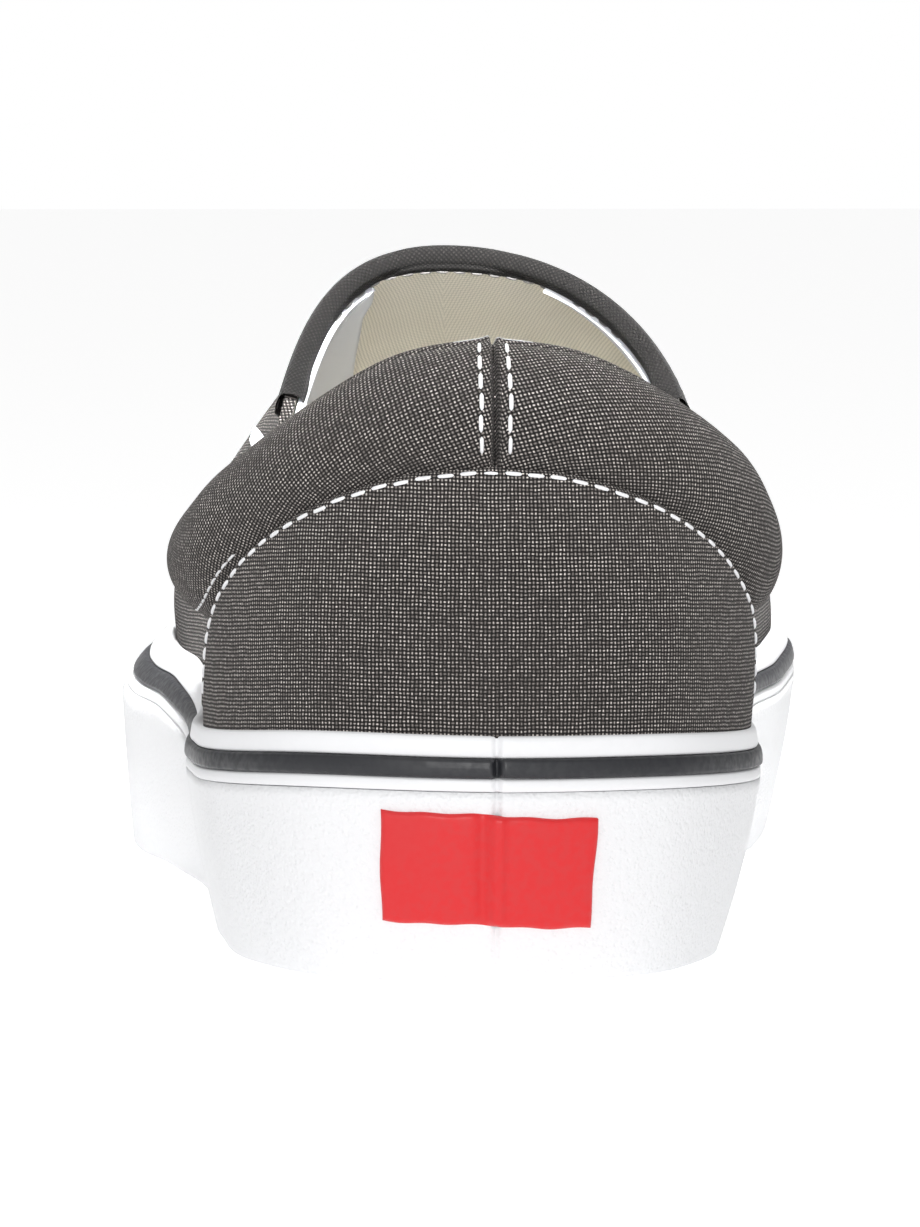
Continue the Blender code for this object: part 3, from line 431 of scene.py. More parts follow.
def lifted(lap, rise, lift):
    """A point a way out from the canvas wall, or inside it for a lift under 0."""
    return wall_base(lap, rise) + wall_normal(lap, rise) * np.asarray(lift)[..., None]


def lining_wall(lap, rise, extra=0.0):
    """The inner face of the wall, or a way further inside it."""
    bulge = 0.001 * padding(lap, rise, LINING_PAD_FADE_STATIONS)
    return lifted(lap, rise, -(CANVAS_WALL + bulge + extra))


def edge_length():
    """The length of one side of the sole's edge, heel to toe."""
    x, y = EDGE_COLUMNS[:2]
    return float(np.hypot(np.diff(x), np.diff(y)).sum()) / 2


SIDE_LENGTH = edge_length()


def link(obj, material, slot, *replaced):
    """Puts a finished piece in the scene, on the shoe's one body, in a CAD node's place."""
    if obj.name not in bpy.context.scene.collection.objects:
        bpy.context.scene.collection.objects.link(obj)
    if material is not None:
        obj.data.materials.clear()
        obj.data.materials.append(material)
    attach(obj, "root")
    for name in replaced:
        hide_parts(name)
    return obj


def grid_faces(columns, rows, around, flip=False):
    """The quads of a grid of columns and rows, joined round where around is true."""
    k = np.arange(columns if around else columns - 1)
    j = np.arange(rows - 1)
    k, j = [a.ravel() for a in np.meshgrid(k, j, indexing="ij")]
    after = (k + 1) % columns
    quads = np.stack([k * rows + j, k * rows + j + 1, after * rows + j + 1, after * rows + j], 1)
    return quads[:, ::-1] if flip else quads


def fill_mesh(name, points, faces, uv=None):
    """A smooth mesh from arrays, with a UV map in millimetres where uv is given for each corner."""
    mesh = bpy.data.meshes.new(name)
    points = np.ascontiguousarray(points.reshape(-1, 3), np.float32)
    mesh.vertices.add(len(points))
    mesh.vertices.foreach_set("co", points.ravel())
    size = faces.shape[1]
    mesh.loops.add(faces.size)
    mesh.loops.foreach_set("vertex_index", np.ascontiguousarray(faces.ravel(), np.int32))
    mesh.polygons.add(len(faces))
    mesh.polygons.foreach_set("loop_start", np.arange(0, faces.size, size, dtype=np.int32))
    mesh.polygons.foreach_set("use_smooth", np.ones(len(faces), bool))
    if uv is not None:
        layer = mesh.uv_layers.new(name="cloth_mm")
        layer.data.foreach_set("uv", np.ascontiguousarray(uv.reshape(-1), np.float32))
    mesh.update()
    mesh.validate()
    return bpy.data.objects.new(name, mesh)


def grid_object(name, points, uv=None, around=False, flip=False):
    """A surface from a grid of points, its UV in millimetres along and up the cloth.

    Round a closed grid the last column's corners take the UV of one full turn, so that no quad
    runs back over the whole cloth.
    """
    columns, rows = points.shape[:2]
    faces = grid_faces(columns, rows, around, flip)
    corner = None
    if uv is not None:
        corner = uv.reshape(-1, 2)[faces]
        if around:
            turn = uv[-1, :, 0].mean() + (uv[-1, :, 0] - uv[-2, :, 0]).mean() - uv[0, :, 0].mean()
            back = corner[..., 0] < corner[..., 0].max(axis=1, keepdims=True) - turn / 2
            corner[..., 0] += back * turn
    return fill_mesh(name, points, faces, corner)


def measure(points):
    """UV in millimetres: along each row from the first column, taken at the middle row, and up
    each column from the first row, so a weave keeps its pitch."""
    columns, rows = points.shape[:2]
    middle = points[:, rows // 2]
    along = np.concatenate([[0], np.cumsum(np.linalg.norm(np.diff(middle, axis=0), axis=1))])
    steps = np.linalg.norm(np.diff(points, axis=1), axis=2)
    up = np.concatenate([np.zeros((columns, 1)), np.cumsum(steps, axis=1)], axis=1)
    uv = np.empty((columns, rows, 2))
    uv[..., 0] = along[:, None] * 1000
    uv[..., 1] = up * 1000
    return uv


def apply_modifiers(obj):
    """Turns the piece's modifiers into its mesh."""
    bpy.context.view_layer.update()
    graph = bpy.context.evaluated_depsgraph_get()
    made = bpy.data.meshes.new_from_object(obj.evaluated_get(graph), depsgraph=graph)
    obj.modifiers.clear()
    obj.data = made
    return obj


def thread_row(name, path, normals, pitch, length, thick, wobble=0.0, phase=0.5):
    """A row of sewn stitches as one mesh.

    path is a dense line on the cloth and normals stand off it. Each stitch is a small capsule of
    rings whose middle is bowed up off the cloth and whose ends dip into it.
    """
    steps = np.linalg.norm(np.diff(path, axis=0), axis=1)
    run = np.concatenate([[0], np.cumsum(steps)])
    count = int((run[-1] - length) / pitch) + 1
    centres = phase * (run[-1] - (count - 1) * pitch) + np.arange(count) * pitch
    rng = np.random.default_rng(len(path) + count)
    shift = rng.normal(0, wobble, count)
    rings, sides = 7, 8
    t = np.linspace(-1, 1, rings)
    at = centres[:, None] + t[None] * length / 2

    def read(values, places):
        return np.stack([np.interp(places, run, values[:, i]) for i in range(3)], axis=-1)

    spots = read(path, at)
    off = read(normals, at)
    off /= np.linalg.norm(off, axis=-1, keepdims=True)
    ahead = read(path, at + 1e-5) - read(path, at - 1e-5)
    ahead /= np.linalg.norm(ahead, axis=-1, keepdims=True)
    across = np.cross(ahead, off)
    bow = (1 - np.abs(t) ** 3)[None, :, None]
    spots = spots + off * (thick * (0.42 * bow - 0.40)) + across * shift[:, None, None]
    radius = thick / 2 * np.sqrt(np.clip(1 - (np.abs(t) * 0.985) ** 5, 0.03, 1))
    angle = np.linspace(0, 2 * np.pi, sides, endpoint=False)
    circle = (
        off[:, :, None] * np.cos(angle)[None, None, :, None]
        + across[:, :, None] * np.sin(angle)[None, None, :, None]
    )
    points = spots[:, :, None] + circle * radius[None, :, None, None]
    base = (np.arange(count) * rings * sides)[:, None, None]
    r = np.arange(rings - 1)[None, :, None] * sides
    a = np.arange(sides)[None, None, :]
    b = (a + 1) % sides
    quads = np.stack([base + r + a, base + r + b, base + r + sides + b, base + r + sides + a], -1)
    faces = quads.reshape(-1, 4)
    ends = np.arange(count) * rings * sides
    caps = [ends[:, None] + np.array(c)[None] for c in ([3, 2, 1, 0], [5, 4, 3, 0], [7, 6, 5, 0])]
    tail = (rings - 1) * sides
    caps += [ends[:, None] + tail + np.array(c)[None] for c in ([0, 1, 2, 3], [0, 3, 4, 5], [0, 5, 6, 7])]
    faces = np.concatenate([faces, *caps])
    return fill_mesh(name, points, faces)


class Nodes:
    """A short way to lay out shader nodes in a material or a node group."""

    def __init__(self, tree):
        self.tree = tree

    def add(self, kind, **settings):
        node = self.tree.nodes.new(kind)
        for key, value in settings.items():
            setattr(node, key, value)
        return node

    def put(self, socket, value):
        if isinstance(value, bpy.types.NodeSocket):
            self.tree.links.new(value, socket)
        elif value is not None:
            socket.default_value = value

    def math(self, operation, *values, clamp=False):
        node = self.add("ShaderNodeMath", operation=operation, use_clamp=clamp)
        for socket, value in zip(node.inputs, values):
            self.put(socket, value)
        return node.outputs[0]

    def mix(self, factor, low, high, blend="MIX"):
        node = self.add("ShaderNodeMix", data_type="RGBA", blend_type=blend)
        self.put(node.inputs["Factor"], factor)
        self.put(node.inputs[6], low)
        self.put(node.inputs[7], high)
        return node.outputs[2]

    def noise(self, vector, scale, detail=2.0, rough=0.5):
        node = self.add("ShaderNodeTexNoise")
        self.put(node.inputs["Vector"], vector)
        node.inputs["Scale"].default_value = scale
        node.inputs["Detail"].default_value = detail
        node.inputs["Roughness"].default_value = rough
        return node.outputs["Fac"]

    def ramp(self, value, low, high, to_low=0.0, to_high=1.0):
        node = self.add("ShaderNodeMapRange", interpolation_type="SMOOTHSTEP")
        for socket, v in zip(node.inputs, (value, low, high, to_low, to_high)):
            self.put(socket, v)
        return node.outputs[0]


def new_group(name, inputs, outputs):
    """A node group with named sockets. Returns it, its inputs by name and its outputs node."""
    group = bpy.data.node_groups.new(name, "ShaderNodeTree")
    kinds = {"value": "NodeSocketFloat", "colour": "NodeSocketColor", "vector": "NodeSocketVector"}
    for socket, kind, default in inputs:
        made = group.interface.new_socket(socket, in_out="INPUT", socket_type=kinds[kind])
        if default is not None:
            made.default_value = default
    for socket, kind in outputs:
        group.interface.new_socket(socket, in_out="OUTPUT", socket_type=kinds[kind])
    start = group.nodes.new("NodeGroupInput")
    end = group.nodes.new("NodeGroupOutput")
    return group, start.outputs, end.inputs


def weave_group():
    """Plain weave on a UV map in millimetres.

    Warp thread i lies over where sin(pi v + pi i) is above 0 and weft thread j where it is below.
    Each thread's height is a half sine across it, and the cloth's height is the higher of the
    two. Slow noise bends the threads. The colour paints the light: a painted shade in the low
    gaps between threads, and a painted highlight on each thread's crown, given a random strength
    at each crossing.
    """
    group, given, out = new_group(
        "Plain Weave",
        [
            ("Vector", "vector", None),
            ("Pitch", "value", 0.53),
            ("Turn", "value", 0.0),
            ("Thread", "colour", (0.1, 0.09, 0.085, 1)),
            # The second colour is a painted highlight on the threads' crowns, and the third is a painted
            # shade in the gaps between them.
            ("Bright", "colour", (0.3, 0.28, 0.26, 1)),
            ("Gap", "colour", (0.01, 0.01, 0.01, 1)),
            ("Wander", "value", 0.35),
        ],
        [("Color", "colour"), ("Height", "value")],
    )
    n = Nodes(group)
    turn = n.add("ShaderNodeVectorRotate", rotation_type="Z_AXIS")
    n.put(turn.inputs["Vector"], given["Vector"])
    n.put(turn.inputs["Angle"], given["Turn"])
    bend = n.add("ShaderNodeTexNoise")
    n.put(bend.inputs["Vector"], turn.outputs[0])
    bend.inputs["Scale"].default_value = 0.35
    bend.inputs["Detail"].default_value = 3.0
    away = n.add("ShaderNodeVectorMath", operation="SUBTRACT")
    n.put(away.inputs[0], bend.outputs["Color"])
    away.inputs[1].default_value = (0.5, 0.5, 0.5)
    sized = n.add("ShaderNodeVectorMath", operation="SCALE")
    n.put(sized.inputs[0], away.outputs[0])
    n.put(sized.inputs["Scale"], given["Wander"])
    moved = n.add("ShaderNodeVectorMath", operation="ADD")
    n.put(moved.inputs[0], turn.outputs[0])
    n.put(moved.inputs[1], sized.outputs[0])
    split = n.add("ShaderNodeSeparateXYZ")
    n.put(split.inputs[0], moved.outputs[0])
    u = n.math("DIVIDE", split.outputs[0], given["Pitch"])
    v = n.math("DIVIDE", split.outputs[1], given["Pitch"])
    i, j = n.math("FLOOR", u), n.math("FLOOR", v)
    across_u = n.math("ABSOLUTE", n.math("SINE", n.math("MULTIPLY", u, math.pi)))
    across_v = n.math("ABSOLUTE", n.math("SINE", n.math("MULTIPLY", v, math.pi)))
    over_u = n.math("SINE", n.math("MULTIPLY", n.math("ADD", v, i), math.pi))
    over_v = n.math("SINE", n.math("MULTIPLY", n.math("ADD", u, j), math.pi))
    warp = n.math("MULTIPLY", across_u, n.math("MULTIPLY_ADD", over_u, 0.5, 0.5))
    weft = n.math("MULTIPLY", across_v, n.math("MULTIPLY_ADD", over_v, -0.5, 0.5))
    height = n.math("MAXIMUM", warp, weft)
    cell = n.add("ShaderNodeCombineXYZ")
    n.put(cell.inputs[0], i)
    n.put(cell.inputs[1], j)
    chance = n.add("ShaderNodeTexWhiteNoise", noise_dimensions="2D")
    n.put(chance.inputs["Vector"], cell.outputs[0])
    slub = n.noise(moved.outputs[0], 0.9, 3.0, 0.6)
    # Painted shade: the gap colour where the cloth lies low between the threads.
    base = n.mix(n.ramp(height, 0.30, 0.72), given["Gap"], given["Thread"])
    # Painted highlight on each thread's crown, its strength random at each crossing and dimmed along the
    # slubs.
    dimmed = n.ramp(chance.outputs["Value"], 0.0, 1.0, 0.25, 1.0)
    painted_highlight_mask = n.math("MULTIPLY", n.ramp(height, 0.70, 0.97), dimmed)
    painted_highlight_mask = n.math("MULTIPLY", painted_highlight_mask, n.ramp(slub, 0.30, 0.65, 0.55, 1.0))
    n.put(out["Color"], n.mix(painted_highlight_mask, base, given["Bright"]))
    n.put(out["Height"], n.math("MULTIPLY_ADD", slub, 0.25, height))
    return group


def pebble_group():
    """The fine rough skin of moulded rubber: two sizes of noise and rare small pits, darker on broad dusty
    patches and, as painted shade, in the hollows of the coarse relief.
    """
    group, given, out = new_group(
        "Moulded Rubber",
        [("Vector", "vector", None), ("Clean", "colour", (0.9, 0.9, 0.92, 1)),
         ("Dusty", "colour", (0.7, 0.7, 0.72, 1)), ("Dust", "value", 0.2)],
        [("Color", "colour"), ("Height", "value"), ("Roughness", "value")],
    )
    n = Nodes(group)
    fine = n.noise(given["Vector"], 2600.0, 3.0, 0.55)
    coarse = n.noise(given["Vector"], 900.0, 2.0, 0.5)
    broad = n.noise(given["Vector"], 60.0, 3.0, 0.6)
    grains = n.add("ShaderNodeTexVoronoi", feature="F1")
    n.put(grains.inputs["Vector"], given["Vector"])
    grains.inputs["Scale"].default_value = 1500.0
    pit = n.ramp(grains.outputs["Distance"], 0.0, 0.6)
    height = n.math("ADD", n.math("MULTIPLY", fine, 0.5), n.math("MULTIPLY", coarse, 0.7))
    n.put(out["Height"], n.math("MULTIPLY_ADD", pit, 0.35, height))
    # The darker colour goes on broad dusty patches and, as painted shade, on the low places of the coarse
    # relief.
    dusty = n.math("MULTIPLY", n.ramp(broad, 0.42, 0.72), given["Dust"])
    low = n.math("MULTIPLY", n.ramp(coarse, 0.62, 0.35), given["Dust"])
    n.put(out["Color"], n.mix(n.math("MAXIMUM", dusty, low), given["Clean"], given["Dusty"]))
    n.put(out["Roughness"], n.ramp(coarse, 0.3, 0.7, 0.42, 0.58))
    return group


def shared_group(name, maker):
    """The shader group of this name, made the first time it is asked for."""
    return bpy.data.node_groups.get(name) or maker()


def new_material(name, roughness, coat=0.0, sheen=0.0):
    """A material whose steady numbers sit on the shader's own sockets."""
    material = bpy.data.materials.new(name)
    material.use_nodes = True
    shader = material.node_tree.nodes["Principled BSDF"]
    shader.inputs["Roughness"].default_value = roughness
    shader.inputs["Coat Weight"].default_value = coat
    shader.inputs["Sheen Weight"].default_value = sheen
    shader.inputs["Sheen Roughness"].default_value = 0.6
    return material, Nodes(material.node_tree), shader


def use_group(n, group, **values):
    """A shader group in a material with its own values, and its outputs."""
    node = n.add("ShaderNodeGroup", node_tree=group)
    for name, value in values.items():
        n.put(node.inputs[name], value)
    return node.outputs


def bump(n, shader, height, strength, distance):
    """Fine relief by a height mask, distance in metres."""
    node = n.add("ShaderNodeBump")
    node.inputs["Strength"].default_value = strength
    node.inputs["Distance"].default_value = distance
    n.put(node.inputs["Height"], height)
    n.put(shader.inputs["Normal"], node.outputs[0])


def woven_material(name, thread, painted_highlight, gap, pitch, turn=0.0, wander=0.35, depth=0.00018):
    """Woven cloth: its threads' colour, a painted highlight on their crowns, a painted shade in the gaps
    between them, and broad faint patches where it is duller.
    """
    material, n, shader = new_material(name, 0.92, sheen=0.04)
    shader.inputs["Specular IOR Level"].default_value = 0.25
    uv = n.add("ShaderNodeUVMap", uv_map="cloth_mm")
    weave = shared_group("Plain Weave", weave_group)
    made = use_group(n, weave, Vector=uv.outputs[0], Pitch=pitch, Turn=turn, Thread=(*thread, 1),
                     Bright=(*painted_highlight, 1), Gap=(*gap, 1), Wander=wander)
    place = n.add("ShaderNodeTexCoord")
    broad = n.noise(place.outputs["Object"], 45.0, 3.0, 0.55)
    tinted = n.mix(n.ramp(broad, 0.35, 0.75, 0.0, 0.22), made["Color"], (*[c * 0.6 for c in thread], 1))
    n.put(shader.inputs["Base Color"], tinted)
    bump(n, shader, made["Height"], 0.8, depth)
    return material


def rubber_material(name, clean, dusty, dust_and_shade, depth):
    """Moulded rubber in a clean colour and a darker one, on dusty patches and as painted shade in the skin's
    hollows, its skin's relief in metres.
    """
    material, n, shader = new_material(name, 0.5, coat=0.08)
    place = n.add("ShaderNodeTexCoord")
    skin = shared_group("Moulded Rubber", pebble_group)
    made = use_group(n, skin, Vector=place.outputs["Object"], Clean=(*clean, 1), Dusty=(*dusty, 1),
                     Dust=dust_and_shade)
    n.put(shader.inputs["Base Color"], made["Color"])
    n.put(shader.inputs["Roughness"], made["Roughness"])
    bump(n, shader, made["Height"], 0.6, depth)
    return material


def thread_material(name, colour):
    """Twisted cotton thread: fine noise stands in for its plies."""
    material, n, shader = new_material(name, 0.7, sheen=0.2)
    place = n.add("ShaderNodeTexCoord")
    plies = n.noise(place.outputs["Object"], 5200.0, 2.0, 0.6)
    shader_colour = n.mix(n.ramp(plies, 0.3, 0.7, 0.0, 0.3), (*colour, 1), (*[c * 0.55 for c in colour], 1))
    n.put(shader.inputs["Base Color"], shader_colour)
    bump(n, shader, plies, 0.5, 0.00008)
    return material


def elastic_material(name):
    """Ribbed white elastic: soft ribs up the cloth, painted shade greying the hollows between the ribs, and
    small grey marks where the rubber shows.
    """
    material, n, shader = new_material(name, 0.8, sheen=0.2)
    uv = n.add("ShaderNodeUVMap", uv_map="cloth_mm")
    split = n.add("ShaderNodeSeparateXYZ")
    n.put(split.inputs[0], uv.outputs[0])
    ribs = n.math("ABSOLUTE", n.math("SINE", n.math("MULTIPLY", split.outputs[0], math.pi / 1.4)))
    marks = n.math("ABSOLUTE", n.math("SINE", n.math("MULTIPLY", split.outputs[1], math.pi / 2.0)))
    height = n.math("MULTIPLY_ADD", marks, 0.2, ribs)
    spot = n.math("MULTIPLY", n.ramp(ribs, 0.88, 0.98), n.ramp(marks, 0.80, 0.96))
    spot = n.math("MULTIPLY", spot, n.ramp(n.noise(uv.outputs[0], 0.6, 1.0), 0.40, 0.60))
    # Painted shade: the cloth is greyer where it lies low between the ribs.
    base = n.mix(n.ramp(height, 0.1, 0.7), (0.66, 0.67, 0.73, 1), (0.84, 0.845, 0.87, 1))
    n.put(shader.inputs["Base Color"], n.mix(spot, base, (0.30, 0.31, 0.38, 1)))
    bump(n, shader, height, 0.5, 0.0002)
    return material


def shoe_columns(back=100, gore=70, vamp=60, toe=110):
    """The laps of a fine closed grid, closer together round the throat's peak."""
    parts = [
        np.linspace(0, 0.37, back, endpoint=False),
        PEAK_STATION - 0.08 * np.linspace(1, 0, gore, endpoint=False) ** 1.6,
        PEAK_STATION + 0.15 * np.linspace(0, 1, vamp, endpoint=False) ** 1.4,
        np.linspace(0.60, 1.0, toe),
    ]
    stations = np.concatenate(parts)
    return np.concatenate([stations, 2 - stations[-2:0:-1]])


def spread(lap, count):
    """lap made into columns for a number of rows."""
    return np.broadcast_to(np.asarray(lap)[:, None], (len(lap), count))


def crease(lap, rise):
    """Soft troughs and ridges of worn canvas in metres, placed in the shoe's own sizes.

    Each is a ridge across the vamp behind the toes or at the throat's corners: a cosine across
    its width that fades with a bell curve along its length.
    """
    place = wall_base(lap, rise)
    x, y = place[..., 0], place[..., 1] + SHOE_LENGTH / 2
    total = np.zeros_like(x)
    for along, lean, width, depth, middle, reach in (
        (0.625, 0.10, 0.0075, -0.0007, 0.004, 0.030),
        (0.665, 0.06, 0.0080, 0.0006, 0.006, 0.028),
        (0.700, 0.12, 0.0070, -0.0006, 0.008, 0.026),
        (0.545, -0.15, 0.0090, -0.0005, -0.010, 0.024),
        (0.590, -0.05, 0.0085, 0.0004, 0.000, 0.026),
    ):
        away = y - along * SHOE_LENGTH - lean * (x - middle)
        total += depth * np.exp(-((away / width) ** 2)) * np.exp(-(((x - middle) / reach) ** 2))
    return total * smooth_step(0.05, 0.35, np.clip(rise, 0, 1))


def notch_cutter(side):
    """The gore's notch, a deep V with a round foot, as a prism through the side wall."""
    lap = GORE_STATION if side < 0 else 2 - GORE_STATION
    middle = wall_base(np.array([lap]), np.array([0.6]))[0]
    foot_half, top_half = GORE_FOOT_WIDTH / 2, GORE_TOP_WIDTH / 2
    top = INSTEP_HEIGHT + GORE_TOP_WIDTH
    slope = (top_half - foot_half) / (INSTEP_HEIGHT * 0.75 - GORE_BOTTOM)
    wide = foot_half + slope * (top - GORE_BOTTOM - foot_half)
    angle = np.linspace(math.pi, 2 * math.pi, 17)
    across = np.concatenate([foot_half * np.cos(angle), [wide, -wide]])
    up = np.concatenate([GORE_BOTTOM + foot_half * (1 + np.sin(angle)), [top, top]])
    size = len(across)
    ends = [side * BALL_WIDTH / 2 * share for share in (0.18, 1.3)]
    points = np.array([[(x, middle[1] + a, z) for a, z in zip(across, up)] for x in ends])
    mesh = bpy.data.meshes.new("notch")
    faces = [tuple(range(size)), tuple(range(2 * size - 1, size - 1, -1))]
    faces += [(i, size + i, size + (i + 1) % size, (i + 1) % size) for i in range(size)]
    mesh.from_pydata(points.reshape(-1, 3).tolist(), [], faces)
    corners = np.array([mesh.vertices[loop.vertex_index].co for loop in mesh.loops]) * 1000
    layer = mesh.uv_layers.new(name="cloth_mm")
    layer.data.foreach_set("uv", (corners[:, :2] + corners[:, 1:]).ravel().astype(np.float32))
    cutter = bpy.data.objects.new("notch", mesh)
    bpy.context.scene.collection.objects.link(cutter)
    shape = bmesh.new()
    shape.from_mesh(mesh)
    bmesh.ops.recalc_face_normals(shape, faces=shape.faces)
    shape.to_mesh(mesh)
    shape.free()
    return cutter


def make_upper_cloth(canvas, lining, crease_share=1.0):
    """The vamp and quarters: the last's wall with its creases, as one cloth of real thickness.

    The grid's columns run round the shoe and its rows from inside the rubber to the topline or
    the ridge, where the two sides are welded.
    """
    laps = shoe_columns()
    rise = np.concatenate([np.linspace(-0.5, 0, 4)[:-1], np.linspace(0, 1, 46)])
    lap_grid = spread(laps, len(rise))
    rise_grid = np.broadcast_to(rise, lap_grid.shape)
    points = lifted(lap_grid, rise_grid, crease(lap_grid, rise_grid) * crease_share)
    station = station_of(laps)[0]
    ridge = station > PEAK_STATION
    points[ridge, -1] = wall_base(laps[ridge], np.ones(ridge.sum()))
    obj = grid_object("upper_cloth", points, measure(points), around=True)
    bpy.context.scene.collection.objects.link(obj)
    shape = bmesh.new()
    shape.from_mesh(obj.data)
    bmesh.ops.remove_doubles(shape, verts=shape.verts, dist=2e-6)
    shape.to_mesh(obj.data)
    shape.free()
    obj.data.materials.append(canvas)
    obj.data.materials.append(lining)
    solid = obj.modifiers.new("cloth", "SOLIDIFY")
    solid.thickness = CANVAS_WALL
    solid.offset = -1
    solid.material_offset = 1
    apply_modifiers(obj)
    for side in (-1, 1):
        cutter = notch_cutter(side)
        cut = obj.modifiers.new("notch", "BOOLEAN")
        cut.operation = "DIFFERENCE"
        cut.solver = "EXACT"
        cut.object = cutter
        apply_modifiers(obj)
        bpy.data.objects.remove(cutter)
    return link(obj, None, "dark_canvas", "upper")


def seam_away(lap):
    """How far a lap is from the heel's seam, in metres along the edge, lateral side positive."""
    return np.where(lap > 1, lap - 2, lap) * SIDE_LENGTH + HEEL_SEAM_SHIFT


def seam_crest(lap):
    """The heel seam's shape: the pads dip towards it, stand up as two welts beside it, and part
    in a narrow slit. Bell curves across the seam give all three."""
    away = seam_away(lap)
    dip = 1 - 0.30 * np.exp(-((away / 0.0050) ** 2))
    welt = np.exp(-(((np.abs(away) - 0.0009) / 0.0006) ** 2))
    slit = np.exp(-((away / 0.00042) ** 2))
    return dip, welt, slit


def make_collar_pad(canvas, lining, tape):
    """The padded collar: out from the counter's seam, round over the top and down inside.

    Outside, its lift off the wall is a full bell between the seam and the topline. Over the top
    it is a half ellipse, and inside a flatter bell that dies away on the lining.
    """
    share = np.linspace(-1, 1, 601)
    laps = np.sign(share) * np.abs(share) ** 1.7 * COLLAR_END_STATION
    laps -= HEEL_SEAM_SHIFT / SIDE_LENGTH * (1 - np.abs(share)) ** 2
    low = rise_at_height(laps, seam_height("collar", laps) - 0.0012)
    rows_out, rows_top, rows_in = 34, 9, 16
    t = np.linspace(0, 1, rows_out) ** 0.9
    rise_out = low[:, None] + (1 - low)[:, None] * t
    lap_out = spread(laps, rows_out)
    dip, welt, slit = seam_crest(laps)
    fade = 1 - smooth_step(0.315, COLLAR_END_STATION, np.abs(laps))
    ripple = 0.05 * np.sin(laps * 95 + 1.3) * np.exp(-((np.abs(laps) - 0.16) / 0.09) ** 2)
    puff = 1 + 0.30 * np.exp(-(((laps - 0.19) / 0.06) ** 2)) + ripple
    bulge = PAD_HEIGHT * padding(lap_out, rise_out, PAD_FADE_STATIONS)
    tuck = smooth_step(0.0, 0.03, t)[None]
    lift_out = (GAP + 0.0012) * tuck - 0.0006 + bulge * (dip * puff)[:, None]
    lift_out += (0.0004 * welt - 0.0026 * slit)[:, None] * smooth_step(0, 0.1, t)[None]
    outer = lifted(lap_out, rise_out, lift_out)
    edge = wall_base(laps, np.ones(len(laps)))
    normal = wall_normal(laps, np.ones(len(laps)))
    up = edge - wall_base(laps, np.full(len(laps), 0.97))
    up /= np.linalg.norm(up, axis=1, keepdims=True)
    out_top = lift_out[:, -1]
    in_top = CANVAS_WALL + 0.0010 * fade + 0.0002
    middle, half = (out_top - in_top) / 2, (out_top + in_top) / 2
    angle = np.linspace(0, math.pi, rows_top + 2)[1:-1]
    cap = (0.0010 + 0.0003 * fade - 0.0006 * slit)[:, None, None]
    across = (middle[:, None] + half[:, None] * np.cos(angle))[..., None] * normal[:, None]
    top = edge[:, None] + across + up[:, None] * cap * np.sin(angle)[None, :, None]
    s = np.linspace(0, 1, rows_in)
    deep = rise_at_height(laps, wall_base(laps, np.ones(len(laps)))[:, 2] - 0.017)
    rise_in = 1 + (deep - 1)[:, None] * s
    lift_in = -(CANVAS_WALL + 0.0002 + (0.0010 * fade)[:, None] * (1 - s) ** 2
                + 0.0022 * fade[:, None] * np.sin(np.pi * s[None] ** 0.9) ** 0.8)
    inner = lifted(spread(laps, rows_in), rise_in, lift_in)
    points = np.concatenate([outer, top, inner], axis=1)
    obj = grid_object("padded_collar_cloth", points, measure(points))
    for cloth in (canvas, lining, tape):
        obj.data.materials.append(cloth)
    j = np.arange(points.shape[1] - 1)[None]
    white = np.abs(seam_away((laps[:-1] + laps[1:]) / 2)) < 0.0066
    start = np.where(white, rows_out + 1, rows_out + rows_top)[:, None]
    index = np.where(j >= start, 1, 0)
    index = np.where((j >= start) & white[:, None] & (j < rows_out + rows_top + 1), 2, index)
    obj.data.polygons.foreach_set("material_index", index.ravel().astype(np.int32))
    link(obj, None, "padded_canvas", "padded_collar")
    return obj


def seam_path(name, laps, inset, lift):
    """A line on the cloth a way below a panel's edge, with the cloth's normals along it."""
    rise = rise_at_height(laps, np.maximum(seam_height(name, laps), wall_base(laps, 0.0 * laps)[:, 2]))
    edge = lifted(laps, rise, np.full(len(laps), lift))
    normal = wall_normal(laps, rise)
    ahead = np.gradient(edge, axis=0)
    ahead /= np.linalg.norm(ahead, axis=1, keepdims=True)
    down = np.cross(normal, ahead)
    return edge + down * inset, normal


def make_counter_panel(canvas):
    """The heel counter: a panel over the heel whose top edge is folded under."""
    share = np.linspace(-1, 1, 301)
    laps = share * 0.189
    low = rise_at_height(laps, sole_side(laps, 1.0)[..., 2] - 0.0015)
    high = rise_at_height(laps, np.maximum(seam_height("counter", laps), sole_side(laps, 1.0)[..., 2]))
    t = np.concatenate([np.linspace(0, 0.96, 50), [0.975, 0.988, 0.996, 1.0]])
    rise = low[:, None] + (high - low)[:, None] * t
    lap = spread(laps, len(t))
    below = (high - low)[:, None] * (1 - t) * 0.05
    fold = 1 - np.exp(-(below / 0.0006) ** 0.8)
    swell = 0.0003 * np.exp(-((below - 0.0012) / 0.0008) ** 2)
    lift = 0.0002 + (GAP + 0.0009) * fold + swell
    away = laps * SIDE_LENGTH
    lift = lift + (0.00012 * np.exp(-((away / 0.0016) ** 2)))[:, None]
    points = lifted(lap, rise, lift)
    obj = grid_object("heel_counter_cloth", points, measure(points))
    return link(obj, canvas, "counter_canvas", "heel_counter")


